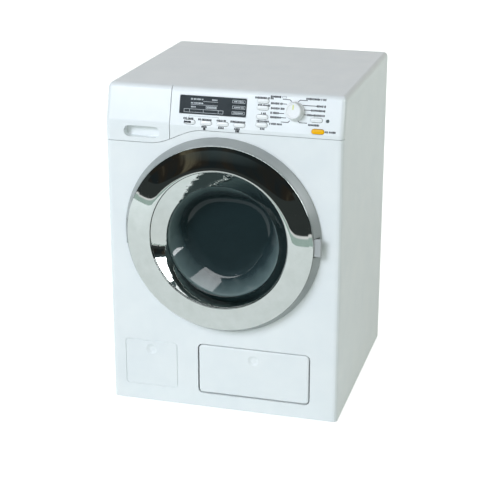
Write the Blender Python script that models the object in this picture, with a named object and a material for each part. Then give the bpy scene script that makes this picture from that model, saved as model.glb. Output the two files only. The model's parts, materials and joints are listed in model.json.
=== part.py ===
"""A toy washing machine: a moulded cabinet with a chrome-ringed porthole door, a turning drum driven by
a small motor and belt, a control panel with push buttons and a selector knob, a detergent drawer and a
hinged service flap.

Metres, +Z up. X = 0 is the middle of the cabinet, the front faces -Y and the feet stand on z = 0.
The origin is the middle of the whole part's footprint, whose foremost point is the crest of the door ring.
Sizes called a depth run back from the cabinet's front plane, and sizes called proud stand in front of it.
"""

import math

import bmesh
import bpy
from mathutils import Matrix, Vector

# Cabinet
CABINET_WIDTH = 0.185
CABINET_DEPTH = 0.181
CABINET_HEIGHT = 0.260
CABINET_BOTTOM = 0.001
WALL = 0.002
EDGE_RADIUS = 0.0035
REAR_EDGE_RADIUS = 0.0013
EDGE_STEPS = 3
FRONT_LAYER_DEPTH = 0.006
FASCIA_RISE = 0.0278
FASCIA_LEAN = 0.0079

# Clearances: between touching pieces, in a visible seam, round a loose pin or screw, and past a cut
GAP = 0.0003
SEAM = 0.0004
RUNNING_GAP = 0.0005
OVERRUN = 0.002

# Seam between the front panel and the control panel: low on the left, an S-curve, then high
SEAM_BELOW_KINK = 0.0029
SEAM_FALL = 0.0124
SEAM_CURVE_BEFORE_DRAWER_EDGE = 0.0157
SEAM_CURVE_LENGTH = 0.042
SEAM_CURVE_STEPS = 14

# Door, whose rings are turned about one axis square to the front
DOOR_AXIS_HEIGHT = 0.147
SURROUND_RADIUS = 0.078
SURROUND_FOOT = 0.0012
SURROUND_CONE_WIDTH = 0.0039
SURROUND_RIM_WALL = 0.0015
CHROME_RADIUS = 0.07365
CHROME_BACK_PROUD = 0.0086
CHROME_SHOULDER_PROUD = 0.0099
CHROME_SHOULDER_WIDTH = 0.0010
CHROME_WALL = 0.0018
CREST_RADIUS = 0.0554
CREST_PROUD = 0.0124
CREST_ROUND = 0.0009
FUNNEL_TOP_DROP = 0.0011
FUNNEL_WALL = 0.0018
FUNNEL_FLANGE_RADIUS = 0.0600
FUNNEL_FLANGE_PROUD = 0.0096
FUNNEL_FLANGE_THICKNESS = 0.0014
FUNNEL_ROWS = 3
FUNNEL_LIP_DEPTH = 0.0036
WINDOW_RADIUS = 0.0455
WINDOW_DROP = 0.005
WINDOW_SINK = 0.0024
WINDOW_WALL = 0.0016
WINDOW_FLANGE_RADIUS = 0.0485
WINDOW_BULGE = 0.0215
WINDOW_RADIUS_SHARES = (1, 0.90, 0.80, 0.76, 0.70, 0)
WINDOW_DEPTH_SHARES = (0, 0.44, 0.87, 0.955, 0.985, 1)
BACK_FRAME_PROUD = 0.0030
BACK_FRAME_WALL = 0.0022
BACK_FRAME_CLEARANCE = 0.0010
BACK_FRAME_INNER_RADIUS = 0.0579
RING_STEPS = 40

# Door hinge on the left, and pull tab and catch on the right
HINGE_X = -0.0739
HINGE_PROUD = 0.0065
HINGE_PIN_RADIUS = 0.0007
HINGE_BARREL_RADIUS = 0.0016
HINGE_BARREL_LENGTH = 0.0104
HINGE_LUG_LENGTH = 0.0040
HINGE_ARM_THICKNESS = 0.0026
TAB_OUTER_X = 0.0792
TAB_INNER_X = 0.0698
TAB_HEIGHT = 0.014
TAB_BACK_PROUD = 0.0030
TAB_FRONT_PROUD = 0.0081
TAB_ROUND = 0.0008
HOOK_X = 0.0660
HOOK_WIDTH = 0.0030
HOOK_HEIGHT = 0.0060
HOOK_REACH = 0.0045
CATCH_WALL = 0.0012
CATCH_DEPTH = 0.0051

# Porthole, tub and drum
PORTHOLE_RADIUS = 0.060
COLLAR_WALL = 0.0016
COLLAR_DEPTH = 0.0095
TUB_FRONT_DEPTH = 0.0083
TUB_INNER_RADIUS = 0.0622
TUB_WALL = 0.0016
TUB_FLANGE_RADIUS = 0.0700
TUB_BACK_BEHIND_DRUM = 0.008
TUB_POST_COUNT = 4
TUB_POST_RING_RADIUS = 0.0665
TUB_POST_RADIUS = 0.0030
TUB_PEG_RADIUS = 0.0014
HUB_RADIUS = 0.0085
HUB_BEHIND_DRUM = 0.0023
HUB_LENGTH = 0.0142
BEARING_OUTER_RADIUS = 0.0057
BEARING_LENGTH = 0.0045
DRUM_RADIUS = 0.058
DRUM_WALL = 0.0012
DRUM_MOUTH_RADIUS = 0.052
DRUM_FRONT_DEPTH = 0.0105
DRUM_LENGTH = 0.0855
DRUM_BOSS_RADIUS = 0.009
DRUM_BOSS_LENGTH = 0.006
DRUM_STEPS = 32
DRUM_HOLE_RADIUS = 0.0022
DRUM_HOLE_ROWS = 3
DRUM_HOLES_PER_ROW = 8
DRUM_HOLE_FIRST_DEPTH = 0.031
DRUM_HOLE_PITCH = 0.024
DRUM_HOLE_SIDES = 6
RIB_COUNT = 3
RIB_BASE_WIDTH = 0.014
RIB_TOP_WIDTH = 0.005
RIB_HEIGHT = 0.011
RIB_FRONT_DEPTH = 0.028
RIB_LENGTH = 0.060
SHAFT_RADIUS = 0.0030
SHAFT_IN_DRUM = 0.0045
SHAFT_BEHIND_PULLEY = 0.0030

# Drive
PULLEY_BEHIND_HUB = 0.0010
PULLEY_WIDTH = 0.006
PULLEY_RADIUS = 0.042
PULLEY_GROOVE = 0.0020
PULLEY_STEPS = 24
PULLEY_FLANGE = 0.0009
PULLEY_HUB_RADIUS = 0.008
PULLEY_WEB = 0.0020
CLIP_RADIUS = 0.0060
CLIP_THICKNESS = 0.0008
MOTOR_X = 0.038
MOTOR_HEIGHT = 0.070
MOTOR_RADIUS = 0.012
MOTOR_LENGTH = 0.030
MOTOR_BORE_DEPTH = 0.004
MOTOR_BOSS_RADIUS = 0.004
MOTOR_SHAFT_RADIUS = 0.00115
MOTOR_PULLEY_RADIUS = 0.0070
BRACKET_THICKNESS = 0.0018
BRACKET_TO_PULLEY = 0.0012
BRACKET_WIDTH = 0.032
BRACKET_FOOT = 0.016
BRACKET_ABOVE_MOTOR = 0.0135
BELT_THICKNESS = 0.0014
BELT_STEPS = 24
BELT_SMALL_STEPS = 8

# Base, rear cover and battery compartment
BASE_THICKNESS = 0.002
FOOT_RADIUS = 0.006
FOOT_INSET = 0.017
COVER_INSET = 0.0003
POST_SIZE = 0.008
POST_LENGTH = 0.011
SCREW_RADIUS = 0.0012
SCREW_HEAD_RADIUS = 0.0025
SCREW_HEAD_THICKNESS = 0.0009
SCREW_LENGTH = 0.007
CELL_RADIUS = 0.00725
CELL_LENGTH = 0.0495
CELL_CAP_RADIUS = 0.0027
CELL_CAP_LENGTH = 0.0010
CELL_PITCH = 0.0150
CELL_COUNT = 4
CELL_SIDES = 16
BATTERY_TAB_LENGTH = 0.0085
BATTERY_TAB_WIDTH = 0.0090
BATTERY_BOX_WALL = 0.0015
BATTERY_BOX_FROM_BACK = 0.0048
BATTERY_MIDDLE_X = -0.0250
VENT_COUNT = 6
VENT_WIDTH = 0.060
VENT_HEIGHT = 0.0022
VENT_PITCH = 0.0060
VENT_LOWEST = 0.085
SPEAKER_X = -0.045
SPEAKER_HEIGHT = 0.190
SPEAKER_RADIUS = 0.0140
SPEAKER_DEPTH = 0.0070
SPEAKER_CONE_DEPTH = 0.0035
SPEAKER_CONE_RADIUS = 0.0120
GRILLE_SLOT_COUNT = 5
GRILLE_SLOT_LENGTH = 0.020
GRILLE_SLOT_HEIGHT = 0.0016
GRILLE_SLOT_PITCH = 0.0040

# Service flap, low on the right, and its compartment
FLAP_FROM_SIDE = 0.0229
FLAP_WIDTH = 0.0895
FLAP_BOTTOM = 0.0137
FLAP_HEIGHT = 0.0408
FLAP_THICKNESS = 0.0024
FLAP_SEAM = 0.0010
FLAP_CORNER_RADIUS = 0.0030
FLAP_EDGE_ROUND = 0.0010
FLAP_ROUND_STEPS = 2
FLAP_HINGE_ABOVE_EDGE = 0.0020
FLAP_HINGE_DEPTH = 0.0020
FLAP_KNUCKLE_RADIUS = 0.0019
FLAP_KNUCKLE_LENGTH = 0.0060
FLAP_PIN_RADIUS = 0.0008
FLAP_BOSS_WIDTH = 0.0050
FLAP_BOSS_HEIGHT = 0.0060
FLAP_RIM_WALL = 0.0015
FLAP_RIM_DEPTH = 0.0045
COMPARTMENT_WALL = 0.0015
COMPARTMENT_BACK_DEPTH = 0.050
DIMPLE_RADIUS = 0.0045
DIMPLE_DEPTH = 0.0009
FLAP_DIMPLE_BELOW_TOP = 0.0090
SQUARE_FROM_SIDE = 0.0109
SQUARE_WIDTH = 0.0442
SQUARE_BOTTOM = 0.0142
SQUARE_HEIGHT = 0.0397
SQUARE_GROOVE_WIDTH = 0.0010
SQUARE_GROOVE_DEPTH = 0.0006
SQUARE_DIMPLE_BELOW_TOP = 0.0079

# Detergent drawer
DRAWER_FRONT_WIDTH = 0.0512
DRAWER_SEAM = 0.0005
TRAY_FROM_SIDE = 0.0050
TRAY_WIDTH = 0.0370
TRAY_ABOVE_SEAM = 0.0026
TRAY_HEIGHT = 0.0240
TRAY_WALL = 0.0014
TRAY_FRONT_DEPTH = 0.0095
TRAY_LENGTH = 0.080
TRAY_DIVIDER_SHARE = 0.42
HOUSING_WALL = 0.0014
HOUSING_FRONT_DEPTH = 0.0160
HOUSING_BEHIND_TRAY = 0.0030
GRIP_MIDDLE_FROM_SIDE = 0.0289
GRIP_WIDTH = 0.0285
GRIP_HEIGHT = 0.0086
GRIP_ABOVE_SEAM = 0.0039
GRIP_DEEP = 0.0072
GRIP_SHALLOW = 0.0048
GRIP_BACKING = 0.0013

# Control panel: places are measured up its slope from the kink
DISPLAY_FROM_DRAWER = 0.0333
DISPLAY_WIDTH = 0.0516
DISPLAY_MIDDLE_SLOPE = 0.0160
DISPLAY_HEIGHT = 0.0136
DISPLAY_THICKNESS = 0.0007
DISPLAY_CORNER_RADIUS = 0.0006
DISPLAY_POCKET = 0.0010
BUTTON_WIDTH = 0.0088
BUTTON_HEIGHT = 0.0031
BUTTON_PROUD = 0.0008
BUTTON_TRAVEL = 0.0010
BUTTON_CLEARANCE = 0.0003
BUTTON_FLANGE_OVERHANG = 0.0008
BUTTON_FLANGE_THICKNESS = 0.0012
BUTTON_ROUND = 0.0004
BUTTON_END_STEPS = 3
OPTION_BUTTON_COUNT = 4
OPTION_BUTTON_FROM_DRAWER = 0.0160
OPTION_BUTTON_PITCH = 0.0129
OPTION_BUTTON_SLOPE = 0.0030
PROGRAM_BUTTON_FROM_SIDE = 0.0621
PROGRAM_BUTTON_SLOPE_SHARES = (0.765, 0.588, 0.357, 0.152)
START_BUTTON_FROM_SIDE = 0.0210
START_BUTTON_SLOPE = 0.0106
POWER_BUTTON_FROM_SIDE = 0.0194
POWER_BUTTON_SLOPE = 0.0023
POWER_BUTTON_WIDTH = 0.0095
POWER_BUTTON_HEIGHT = 0.0035
LOOM_RADIUS = 0.0011
LOOM_POINTS_PER_RUN = 3
LAMP_FROM_SIDE = 0.0127
LAMP_SLOPE = 0.0104
LAMP_RADIUS = 0.0010
LAMP_FLANGE_RADIUS = 0.0018
KNOB_FROM_SIDE = 0.0377
KNOB_SLOPE = 0.0160
KNOB_BASE_RADIUS = 0.0072
KNOB_FACE_RADIUS = 0.0056
KNOB_PROUD = 0.0074
KNOB_SKIRT = 0.0013
KNOB_ROUND = 0.0009
KNOB_STEM_RADIUS = 0.0024
KNOB_STEPS = 28
MAT_THICKNESS = 0.0022
MAT_MARGIN = 0.0018
BOARD_THICKNESS = 0.0016
BOARD_FROM_DRAWER = 0.0053
BOARD_FROM_SIDE = 0.0075
BOARD_LOW_SLOPE = 0.0008
BOARD_HIGH_SLOPE = 0.0265
BOARD_POST_RADIUS = 0.0021
BOARD_PEG_RADIUS = 0.0012
BOARD_POST_SLOPE = 0.0248
BOARD_POST_INSET = 0.0055
BOARD_POST_FROM_KNOB = 0.0118
SWITCH_SIZE = 0.0105

# Worked out from the sizes above
HALF_WIDTH = CABINET_WIDTH / 2
FRONT_Y = (CREST_PROUD - CABINET_DEPTH) / 2
KINK_HEIGHT = CABINET_HEIGHT - FASCIA_RISE
SEAM_HIGH = KINK_HEIGHT - SEAM_BELOW_KINK
SEAM_LOW = SEAM_HIGH - SEAM_FALL
DRAWER_EDGE_X = DRAWER_FRONT_WIDTH - HALF_WIDTH
SEAM_CURVE_START = DRAWER_EDGE_X - SEAM_CURVE_BEFORE_DRAWER_EDGE
LEAN_ANGLE = math.atan2(FASCIA_LEAN, FASCIA_RISE)
FASCIA_SLOPE_LENGTH = math.hypot(FASCIA_LEAN, FASCIA_RISE)
BASE_TOP = CABINET_BOTTOM + BASE_THICKNESS
INNER_HALF_WIDTH = HALF_WIDTH - WALL
DISPLAY_MIDDLE_X = DRAWER_EDGE_X + DISPLAY_FROM_DRAWER
OPTION_BUTTON_FIRST_X = DRAWER_EDGE_X + OPTION_BUTTON_FROM_DRAWER
PROGRAM_BUTTON_X = HALF_WIDTH - PROGRAM_BUTTON_FROM_SIDE
START_BUTTON_X = HALF_WIDTH - START_BUTTON_FROM_SIDE
POWER_BUTTON_X = HALF_WIDTH - POWER_BUTTON_FROM_SIDE
LAMP_X = HALF_WIDTH - LAMP_FROM_SIDE
KNOB_X = HALF_WIDTH - KNOB_FROM_SIDE
BOARD_LEFT = DRAWER_EDGE_X + BOARD_FROM_DRAWER
BOARD_RIGHT = HALF_WIDTH - BOARD_FROM_SIDE
BOARD_POST_XS = (BOARD_LEFT + BOARD_POST_INSET, KNOB_X - BOARD_POST_FROM_KNOB, BOARD_RIGHT - BOARD_POST_INSET)
FLAP_MIDDLE_X = HALF_WIDTH - FLAP_FROM_SIDE - FLAP_WIDTH / 2
SQUARE_MIDDLE_X = SQUARE_FROM_SIDE + SQUARE_WIDTH / 2 - HALF_WIDTH
DRUM_BACK_DEPTH = DRUM_FRONT_DEPTH + DRUM_LENGTH
TUB_BACK_DEPTH = DRUM_BACK_DEPTH + TUB_BACK_BEHIND_DRUM
HUB_FRONT_DEPTH = DRUM_BACK_DEPTH + HUB_BEHIND_DRUM
HUB_BACK_DEPTH = HUB_FRONT_DEPTH + HUB_LENGTH
PULLEY_FRONT_DEPTH = HUB_BACK_DEPTH + PULLEY_BEHIND_HUB
SHAFT_FRONT_DEPTH = DRUM_BACK_DEPTH - SHAFT_IN_DRUM
SHAFT_BACK_DEPTH = PULLEY_FRONT_DEPTH + PULLEY_WIDTH + SHAFT_BEHIND_PULLEY
BATTERY_BOX_BACK_DEPTH = CABINET_DEPTH - BATTERY_BOX_FROM_BACK

# Frames that pieces are drawn in. Each maps its own x, y and z to the world.
# Front view: x right, y up, z out of the front plane. Side view: x is depth, y up, z right.
# Plan view: x right, y is depth, z up. Fascia view: x right, y up the slope, z out of the sloping face.
FRONT_VIEW = Matrix.Translation((0, FRONT_Y, 0)) @ Matrix.Rotation(math.pi / 2, 4, "X")
SIDE_VIEW = Matrix(((0, 0, 1, 0), (1, 0, 0, FRONT_Y), (0, 1, 0, 0), (0, 0, 0, 1)))
PLAN_VIEW = Matrix.Translation((0, FRONT_Y, 0))
FASCIA_VIEW = (Matrix.Translation((0, FRONT_Y, KINK_HEIGHT))
               @ Matrix.Rotation(math.pi / 2 - LEAN_ANGLE, 4, "X"))


def clear_scene():
    for item in list(bpy.data.objects):
        bpy.data.objects.remove(item, do_unlink=True)


def plastic(name, colour, roughness, metallic=0.0):
    """One Principled material, its colour in linear values."""
    found = bpy.data.materials.get(name)
    if found:
        return found
    made = bpy.data.materials.new(name)
    made.use_nodes = True
    shader = made.node_tree.nodes["Principled BSDF"]
    shader.inputs["Base Color"].default_value = (*colour, 1.0)
    shader.inputs["Roughness"].default_value = roughness
    shader.inputs["Metallic"].default_value = metallic
    return made


def white_plastic():
    return plastic("white_abs", (0.80, 0.83, 0.83), 0.35)


def grey_plastic():
    return plastic("grey_abs", (0.36, 0.38, 0.39), 0.4)


def light_grey_plastic():
    return plastic("light_grey_abs", (0.68, 0.68, 0.72), 0.4)


def dark_plastic():
    return plastic("dark_abs", (0.03, 0.035, 0.04), 0.5)


def chrome():
    return plastic("chrome_plating", (0.82, 0.83, 0.84), 0.06, 1.0)


def smoked_plastic():
    return plastic("smoked_acrylic", (0.02, 0.04, 0.05), 0.08)


def display_plastic():
    return plastic("display_acrylic", (0.045, 0.052, 0.06), 0.25)


def yellow_plastic():
    return plastic("yellow_abs", (1.0, 0.5, 0.0), 0.35)


def steel():
    return plastic("plated_steel", (0.55, 0.55, 0.56), 0.3, 1.0)


def rubber():
    return plastic("black_rubber", (0.02, 0.02, 0.02), 0.8)


def drum_plastic():
    return plastic("silver_abs", (0.45, 0.47, 0.48), 0.35)


def nylon():
    return plastic("natural_nylon", (0.7, 0.68, 0.6), 0.5)


def board_green():
    return plastic("board_laminate", (0.02, 0.16, 0.07), 0.5)


def cell_sleeve():
    return plastic("cell_sleeve", (0.05, 0.08, 0.15), 0.4)


def finish_mesh(mesh_data, name, frame, material):
    """Turns a bmesh into an object, places it in its frame and points its faces outwards."""
    mesh_data.transform(frame)
    bmesh.ops.recalc_face_normals(mesh_data, faces=mesh_data.faces)
    mesh = bpy.data.meshes.new(name)
    mesh_data.to_mesh(mesh)
    mesh_data.free()
    made = bpy.data.objects.new(name, mesh)
    bpy.context.scene.collection.objects.link(made)
    if material:
        mesh.materials.append(material)
    return made


def block(name, low, high, frame=PLAN_VIEW, material=None):
    """A box between two corners."""
    shape = bmesh.new()
    bmesh.ops.create_cube(shape, size=1.0)
    size = Vector(high) - Vector(low)
    middle = (Vector(high) + Vector(low)) / 2
    shape.transform(Matrix.Translation(middle) @ Matrix.Diagonal((*size, 1.0)))
    return finish_mesh(shape, name, frame, material)


def prism(name, outline, start, end, frame=FRONT_VIEW, material=None, end_depths=None):
    """A closed outline in the frame's x and y, carried along z from start to end.

    end_depths, where given, is a function of x that gives the far end its own z at each point.
    """
    shape = bmesh.new()
    near = [shape.verts.new((x, y, start)) for x, y in outline]
    far = [shape.verts.new((x, y, end_depths(x) if end_depths else end)) for x, y in outline]
    shape.faces.new(near)
    shape.faces.new(reversed(far))
    for k in range(len(outline)):
        after = (k + 1) % len(outline)
        shape.faces.new((near[k], far[k], far[after], near[after]))
    return finish_mesh(shape, name, frame, material)


def stacked(name, levels, frame=FRONT_VIEW, material=None):
    """Outlines of as many points each, at rising z, joined by side faces and closed at both ends."""
    shape = bmesh.new()
    rings = [[shape.verts.new((x, y, z)) for x, y in outline] for outline, z in levels]
    shape.faces.new(rings[0])
    shape.faces.new(reversed(rings[-1]))
    for near, far in zip(rings, rings[1:]):
        for k in range(len(near)):
            after = (k + 1) % len(near)
            shape.faces.new((near[k], far[k], far[after], near[after]))
    return finish_mesh(shape, name, frame, material)


def turned(name, profile, centre, steps, frame=FRONT_VIEW, material=None):
    """A profile of (radius, height) or (radius, height, shift) turned about an axis along the frame's z.

    shift moves that ring along the frame's y, which leans a funnel. A profile that starts and ends on
    the axis is closed there by its poles, and any other profile closes on itself.
    """
    shape = bmesh.new()
    rings = []
    for point in profile:
        radius, height = point[:2]
        shift = point[2] if len(point) > 2 else 0.0
        middle = (centre[0], centre[1] + shift)
        if radius == 0:
            rings.append([shape.verts.new((*middle, height))])
            continue
        ring = []
        for k in range(steps):
            angle = 2 * math.pi * k / steps
            place = (middle[0] + radius * math.cos(angle), middle[1] + radius * math.sin(angle), height)
            ring.append(shape.verts.new(place))
        rings.append(ring)
    open_profile = len(rings[0]) == 1
    last = len(rings) - 1 if open_profile else len(rings)
    for k in range(last):
        near, far = rings[k], rings[(k + 1) % len(rings)]
        for s in range(steps):
            t = (s + 1) % steps
            corners = [near[s % len(near)], near[t % len(near)], far[t % len(far)], far[s % len(far)]]
            shape.faces.new(list(dict.fromkeys(corners)))
    made = finish_mesh(shape, name, frame, material)
    made.data.shade_smooth()
    made.data.set_sharp_from_angle(angle=math.radians(30))
    return made


def rod(name, centre, radius, start, end, frame=FRONT_VIEW, material=None, steps=24):
    """A round bar along the frame's z."""
    return turned(name, [(0, start), (radius, start), (radius, end), (0, end)], centre, steps, frame,
                  material)


def tube(name, centre, inner, outer, start, end, frame=FRONT_VIEW, material=None, steps=32):
    """A plain ring along the frame's z."""
    profile = [(inner, start), (outer, start), (outer, end), (inner, end)]
    return turned(name, profile, centre, steps, frame, material)


def joined(name, parts, material=None):
    """Several solids as one object, each still a body of its own."""
    shape = bmesh.new()
    for part in parts:
        shape.from_mesh(part.data)
    for part in parts:
        bpy.data.objects.remove(part, do_unlink=True)
    return finish_mesh(shape, name, Matrix.Identity(4), material)


def boolean(target, tool, operation):
    """Adds a Boolean to the target and hides its tool."""
    made = target.modifiers.new(tool.name, "BOOLEAN")
    made.object = tool
    made.operation = operation
    made.solver = "EXACT"
    tool.hide_render = True
    tool.display_type = "WIRE"


def cut(target, *tools):
    for tool in tools:
        boolean(target, tool, "DIFFERENCE")


def add(target, *tools):
    for tool in tools:
        boolean(target, tool, "UNION")


def keep(target, *tools):
    for tool in tools:
        boolean(target, tool, "INTERSECT")


def round_edges(target, width, segments=2):
    """Rounds the target's sharp edges."""
    made = target.modifiers.new("rounding", "BEVEL")
    made.width = width
    made.segments = segments
    made.limit_method = "ANGLE"
    made.angle_limit = math.radians(50)


def arc(centre, radius, start, end, steps):
    """Points on an arc between two angles, both ends included."""
    points = []
    for k in range(steps + 1):
        angle = start + (end - start) * k / steps
        points.append((centre[0] + radius * math.cos(angle), centre[1] + radius * math.sin(angle)))
    return points


def rounded_rectangle(middle, width, height, radius, steps):
    """A rectangle with round corners, anticlockwise; with a radius of half its height, a pill."""
    points = []
    corners = ((1, 1, 0), (-1, 1, 1), (-1, -1, 2), (1, -1, 3))
    for side_x, side_y, quarter in corners:
        centre = (middle[0] + side_x * (width / 2 - radius), middle[1] + side_y * (height / 2 - radius))
        points += arc(centre, radius, quarter * math.pi / 2, (quarter + 1) * math.pi / 2, steps)
    kept = []
    for point in points:
        if not kept or math.dist(point, kept[-1]) > radius / 1000:
            kept.append(point)
    if math.dist(kept[0], kept[-1]) <= radius / 1000:
        kept.pop()
    return kept


def pill(middle, width, height):
    return rounded_rectangle(middle, width, height, height / 2, BUTTON_END_STEPS)


def seam_height(x):
    """Height of the seam under the drawer front and the control panel: a half cosine between two levels."""
    share = min(max((x - SEAM_CURVE_START) / SEAM_CURVE_LENGTH, 0.0), 1.0)
    return SEAM_LOW + (SEAM_HIGH - SEAM_LOW) * (1 - math.cos(math.pi * share)) / 2


def seam_line(left, right, offset):
    """Points of the seam from left to right, moved up by offset."""
    inner = [SEAM_CURVE_START + SEAM_CURVE_LENGTH * k / SEAM_CURVE_STEPS for k in range(SEAM_CURVE_STEPS + 1)]
    xs = [left] + [x for x in inner if left < x < right] + [right]
    return [(x, seam_height(x) + offset) for x in xs]


def cabinet_form(name, inset):
    """The cabinet's outer form, or with an inset the space inside its walls, open behind and below."""
    hollow = inset > 0
    kink_inset = inset * math.tan(LEAN_ANGLE / 2)
    back = CABINET_DEPTH + (OVERRUN if hollow else 0)
    bottom = CABINET_BOTTOM - (OVERRUN if hollow else 0)
    top = CABINET_HEIGHT - inset
    kink = KINK_HEIGHT - kink_inset
    top_front = inset + (top - kink) * math.tan(LEAN_ANGLE)
    outline = [(inset, bottom), (inset, kink), (top_front, top), (back, top), (back, bottom)]
    half = HALF_WIDTH - inset
    shape = bmesh.new()
    left = [shape.verts.new((x, y, -half)) for x, y in outline]
    right = [shape.verts.new((x, y, half)) for x, y in outline]
    shape.faces.new(left)
    shape.faces.new(reversed(right))
    for k in range(len(outline)):
        after = (k + 1) % len(outline)
        shape.faces.new((left[k], right[k], right[after], left[after]))
    bmesh.ops.recalc_face_normals(shape, faces=shape.faces)
    shape.edges.ensure_lookup_table()
    rounded = []
    for edge in shape.edges:
        places = [v.co for v in edge.verts]
        low = all(p.y < bottom + WALL for p in places)
        across_kink = all(abs(p.y - kink) < WALL / 2 for p in places)
        behind = all(p.x > back - WALL for p in places)
        if not (low or across_kink or behind):
            rounded.append(edge)
    bmesh.ops.bevel(shape, geom=rounded, offset=EDGE_RADIUS - inset, segments=EDGE_STEPS, profile=0.5,
                    affect="EDGES", clamp_overlap=True)
    if not hollow:
        rear = [edge for edge in shape.edges
                if all(v.co.x > back - GAP and v.co.y > bottom - GAP for v in edge.verts)
                and not all(v.co.y < bottom + GAP for v in edge.verts)]
        bmesh.ops.bevel(shape, geom=rear, offset=REAR_EDGE_RADIUS, segments=2, profile=0.5, affect="EDGES",
                        clamp_overlap=True)
    return finish_mesh(shape, name, SIDE_VIEW, None)


def parting_zone(name, depth):
    """Everything behind a surface that follows the front at this depth."""
    lean_past = (OVERRUN + FASCIA_RISE) * math.tan(LEAN_ANGLE)
    outline = [(depth, -OVERRUN), (depth, KINK_HEIGHT), (depth + lean_past, CABINET_HEIGHT + OVERRUN),
               (CABINET_DEPTH + OVERRUN, CABINET_HEIGHT + OVERRUN), (CABINET_DEPTH + OVERRUN, -OVERRUN)]
    reach = HALF_WIDTH + OVERRUN
    return prism(name, outline, -reach, reach, SIDE_VIEW)


def front_layer_piece(name, region):
    """A piece of the front layer: the cabinet's shell inside a region of the front view."""
    piece = cabinet_form(name, 0)
    piece.data.materials.append(white_plastic())
    cut(piece, cabinet_form(name + "_inside", WALL))
    keep(piece, prism(name + "_region", region, OVERRUN, -(FRONT_LAYER_DEPTH + FASCIA_LEAN + OVERRUN)))
    cut(piece, parting_zone(name + "_back", FRONT_LAYER_DEPTH - GAP))
    return piece


def make_cabinet_shell():
    """Sides and top in one moulding, with posts for the rear cover and blocks for the base."""
    shell = cabinet_form("cabinet_shell", 0)
    shell.data.materials.append(white_plastic())
    cut(shell, cabinet_form("shell_inside", WALL))
    front_zone = block("shell_front", (-CABINET_WIDTH, -OVERRUN, -OVERRUN),
                       (CABINET_WIDTH, FRONT_LAYER_DEPTH, CABINET_HEIGHT + OVERRUN))
    past = KINK_HEIGHT + (OVERRUN + FASCIA_RISE)
    lean_past = (past - KINK_HEIGHT) * math.tan(LEAN_ANGLE)
    wedge = prism("shell_front_wedge",
                  [(-OVERRUN, KINK_HEIGHT), (FRONT_LAYER_DEPTH, KINK_HEIGHT),
                   (FRONT_LAYER_DEPTH + lean_past, past), (-OVERRUN, past)],
                  -CABINET_WIDTH, CABINET_WIDTH, SIDE_VIEW)
    cut(shell, front_zone, wedge)
    rear = CABINET_DEPTH - COVER_INSET - WALL - GAP
    posts = []
    for side in (-1, 1):
        for low in (post_low(), post_high()):
            near, far = sorted((side * (INNER_HALF_WIDTH - POST_SIZE), side * (HALF_WIDTH - WALL / 2)))
            posts.append(block(f"post_{side}_{low:.3f}", (near, rear - POST_LENGTH, low),
                               (far, rear, low + POST_SIZE)))
    add(shell, *posts)
    pilots = []
    for x, z in cover_screw_places():
        pilots.append(rod(f"cover_pilot_{x:.3f}_{z:.3f}", (x, z), SCREW_RADIUS + GAP, -rear - OVERRUN,
                          -rear + POST_LENGTH - OVERRUN, steps=12))
    cut(shell, joined("shell_pilots", pilots))
    return shell


def post_low():
    return BASE_TOP + GAP


def post_high():
    return CABINET_HEIGHT - WALL / 2 - POST_SIZE


def cover_screw_places():
    x = INNER_HALF_WIDTH - POST_SIZE / 2
    return [(side * x, low + POST_SIZE / 2) for side in (-1, 1) for low in (post_low(), post_high())]


def flap_edges(grow):
    """Left, right, bottom and top of the flap, each moved outwards by grow."""
    return (FLAP_MIDDLE_X - FLAP_WIDTH / 2 - grow, FLAP_MIDDLE_X + FLAP_WIDTH / 2 + grow,
            FLAP_BOTTOM - grow, FLAP_BOTTOM + FLAP_HEIGHT + grow)


def flap_outline(grow):
    left, right, bottom, top = flap_edges(grow)
    return rounded_rectangle(((left + right) / 2, (bottom + top) / 2), right - left, top - bottom,
                             FLAP_CORNER_RADIUS + grow, 3)


def tub_post_places():
    """Places of the tub's posts, evenly round the door's axis and half a step from the right."""
    places = []
    for k in range(TUB_POST_COUNT):
        angle = 2 * math.pi * (k + 0.5) / TUB_POST_COUNT
        places.append((TUB_POST_RING_RADIUS * math.cos(angle),
                       DOOR_AXIS_HEIGHT + TUB_POST_RING_RADIUS * math.sin(angle)))
    return places


def hook_slot(name, start, end):
    """The slot that the door's hook passes through."""
    return block(name, (HOOK_X - RUNNING_GAP, DOOR_AXIS_HEIGHT - HOOK_HEIGHT / 2 - RUNNING_GAP, start),
                 (HOOK_X + HOOK_WIDTH + RUNNING_GAP, DOOR_AXIS_HEIGHT + HOOK_HEIGHT / 2 + RUNNING_GAP, end),
                 FRONT_VIEW)


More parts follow.
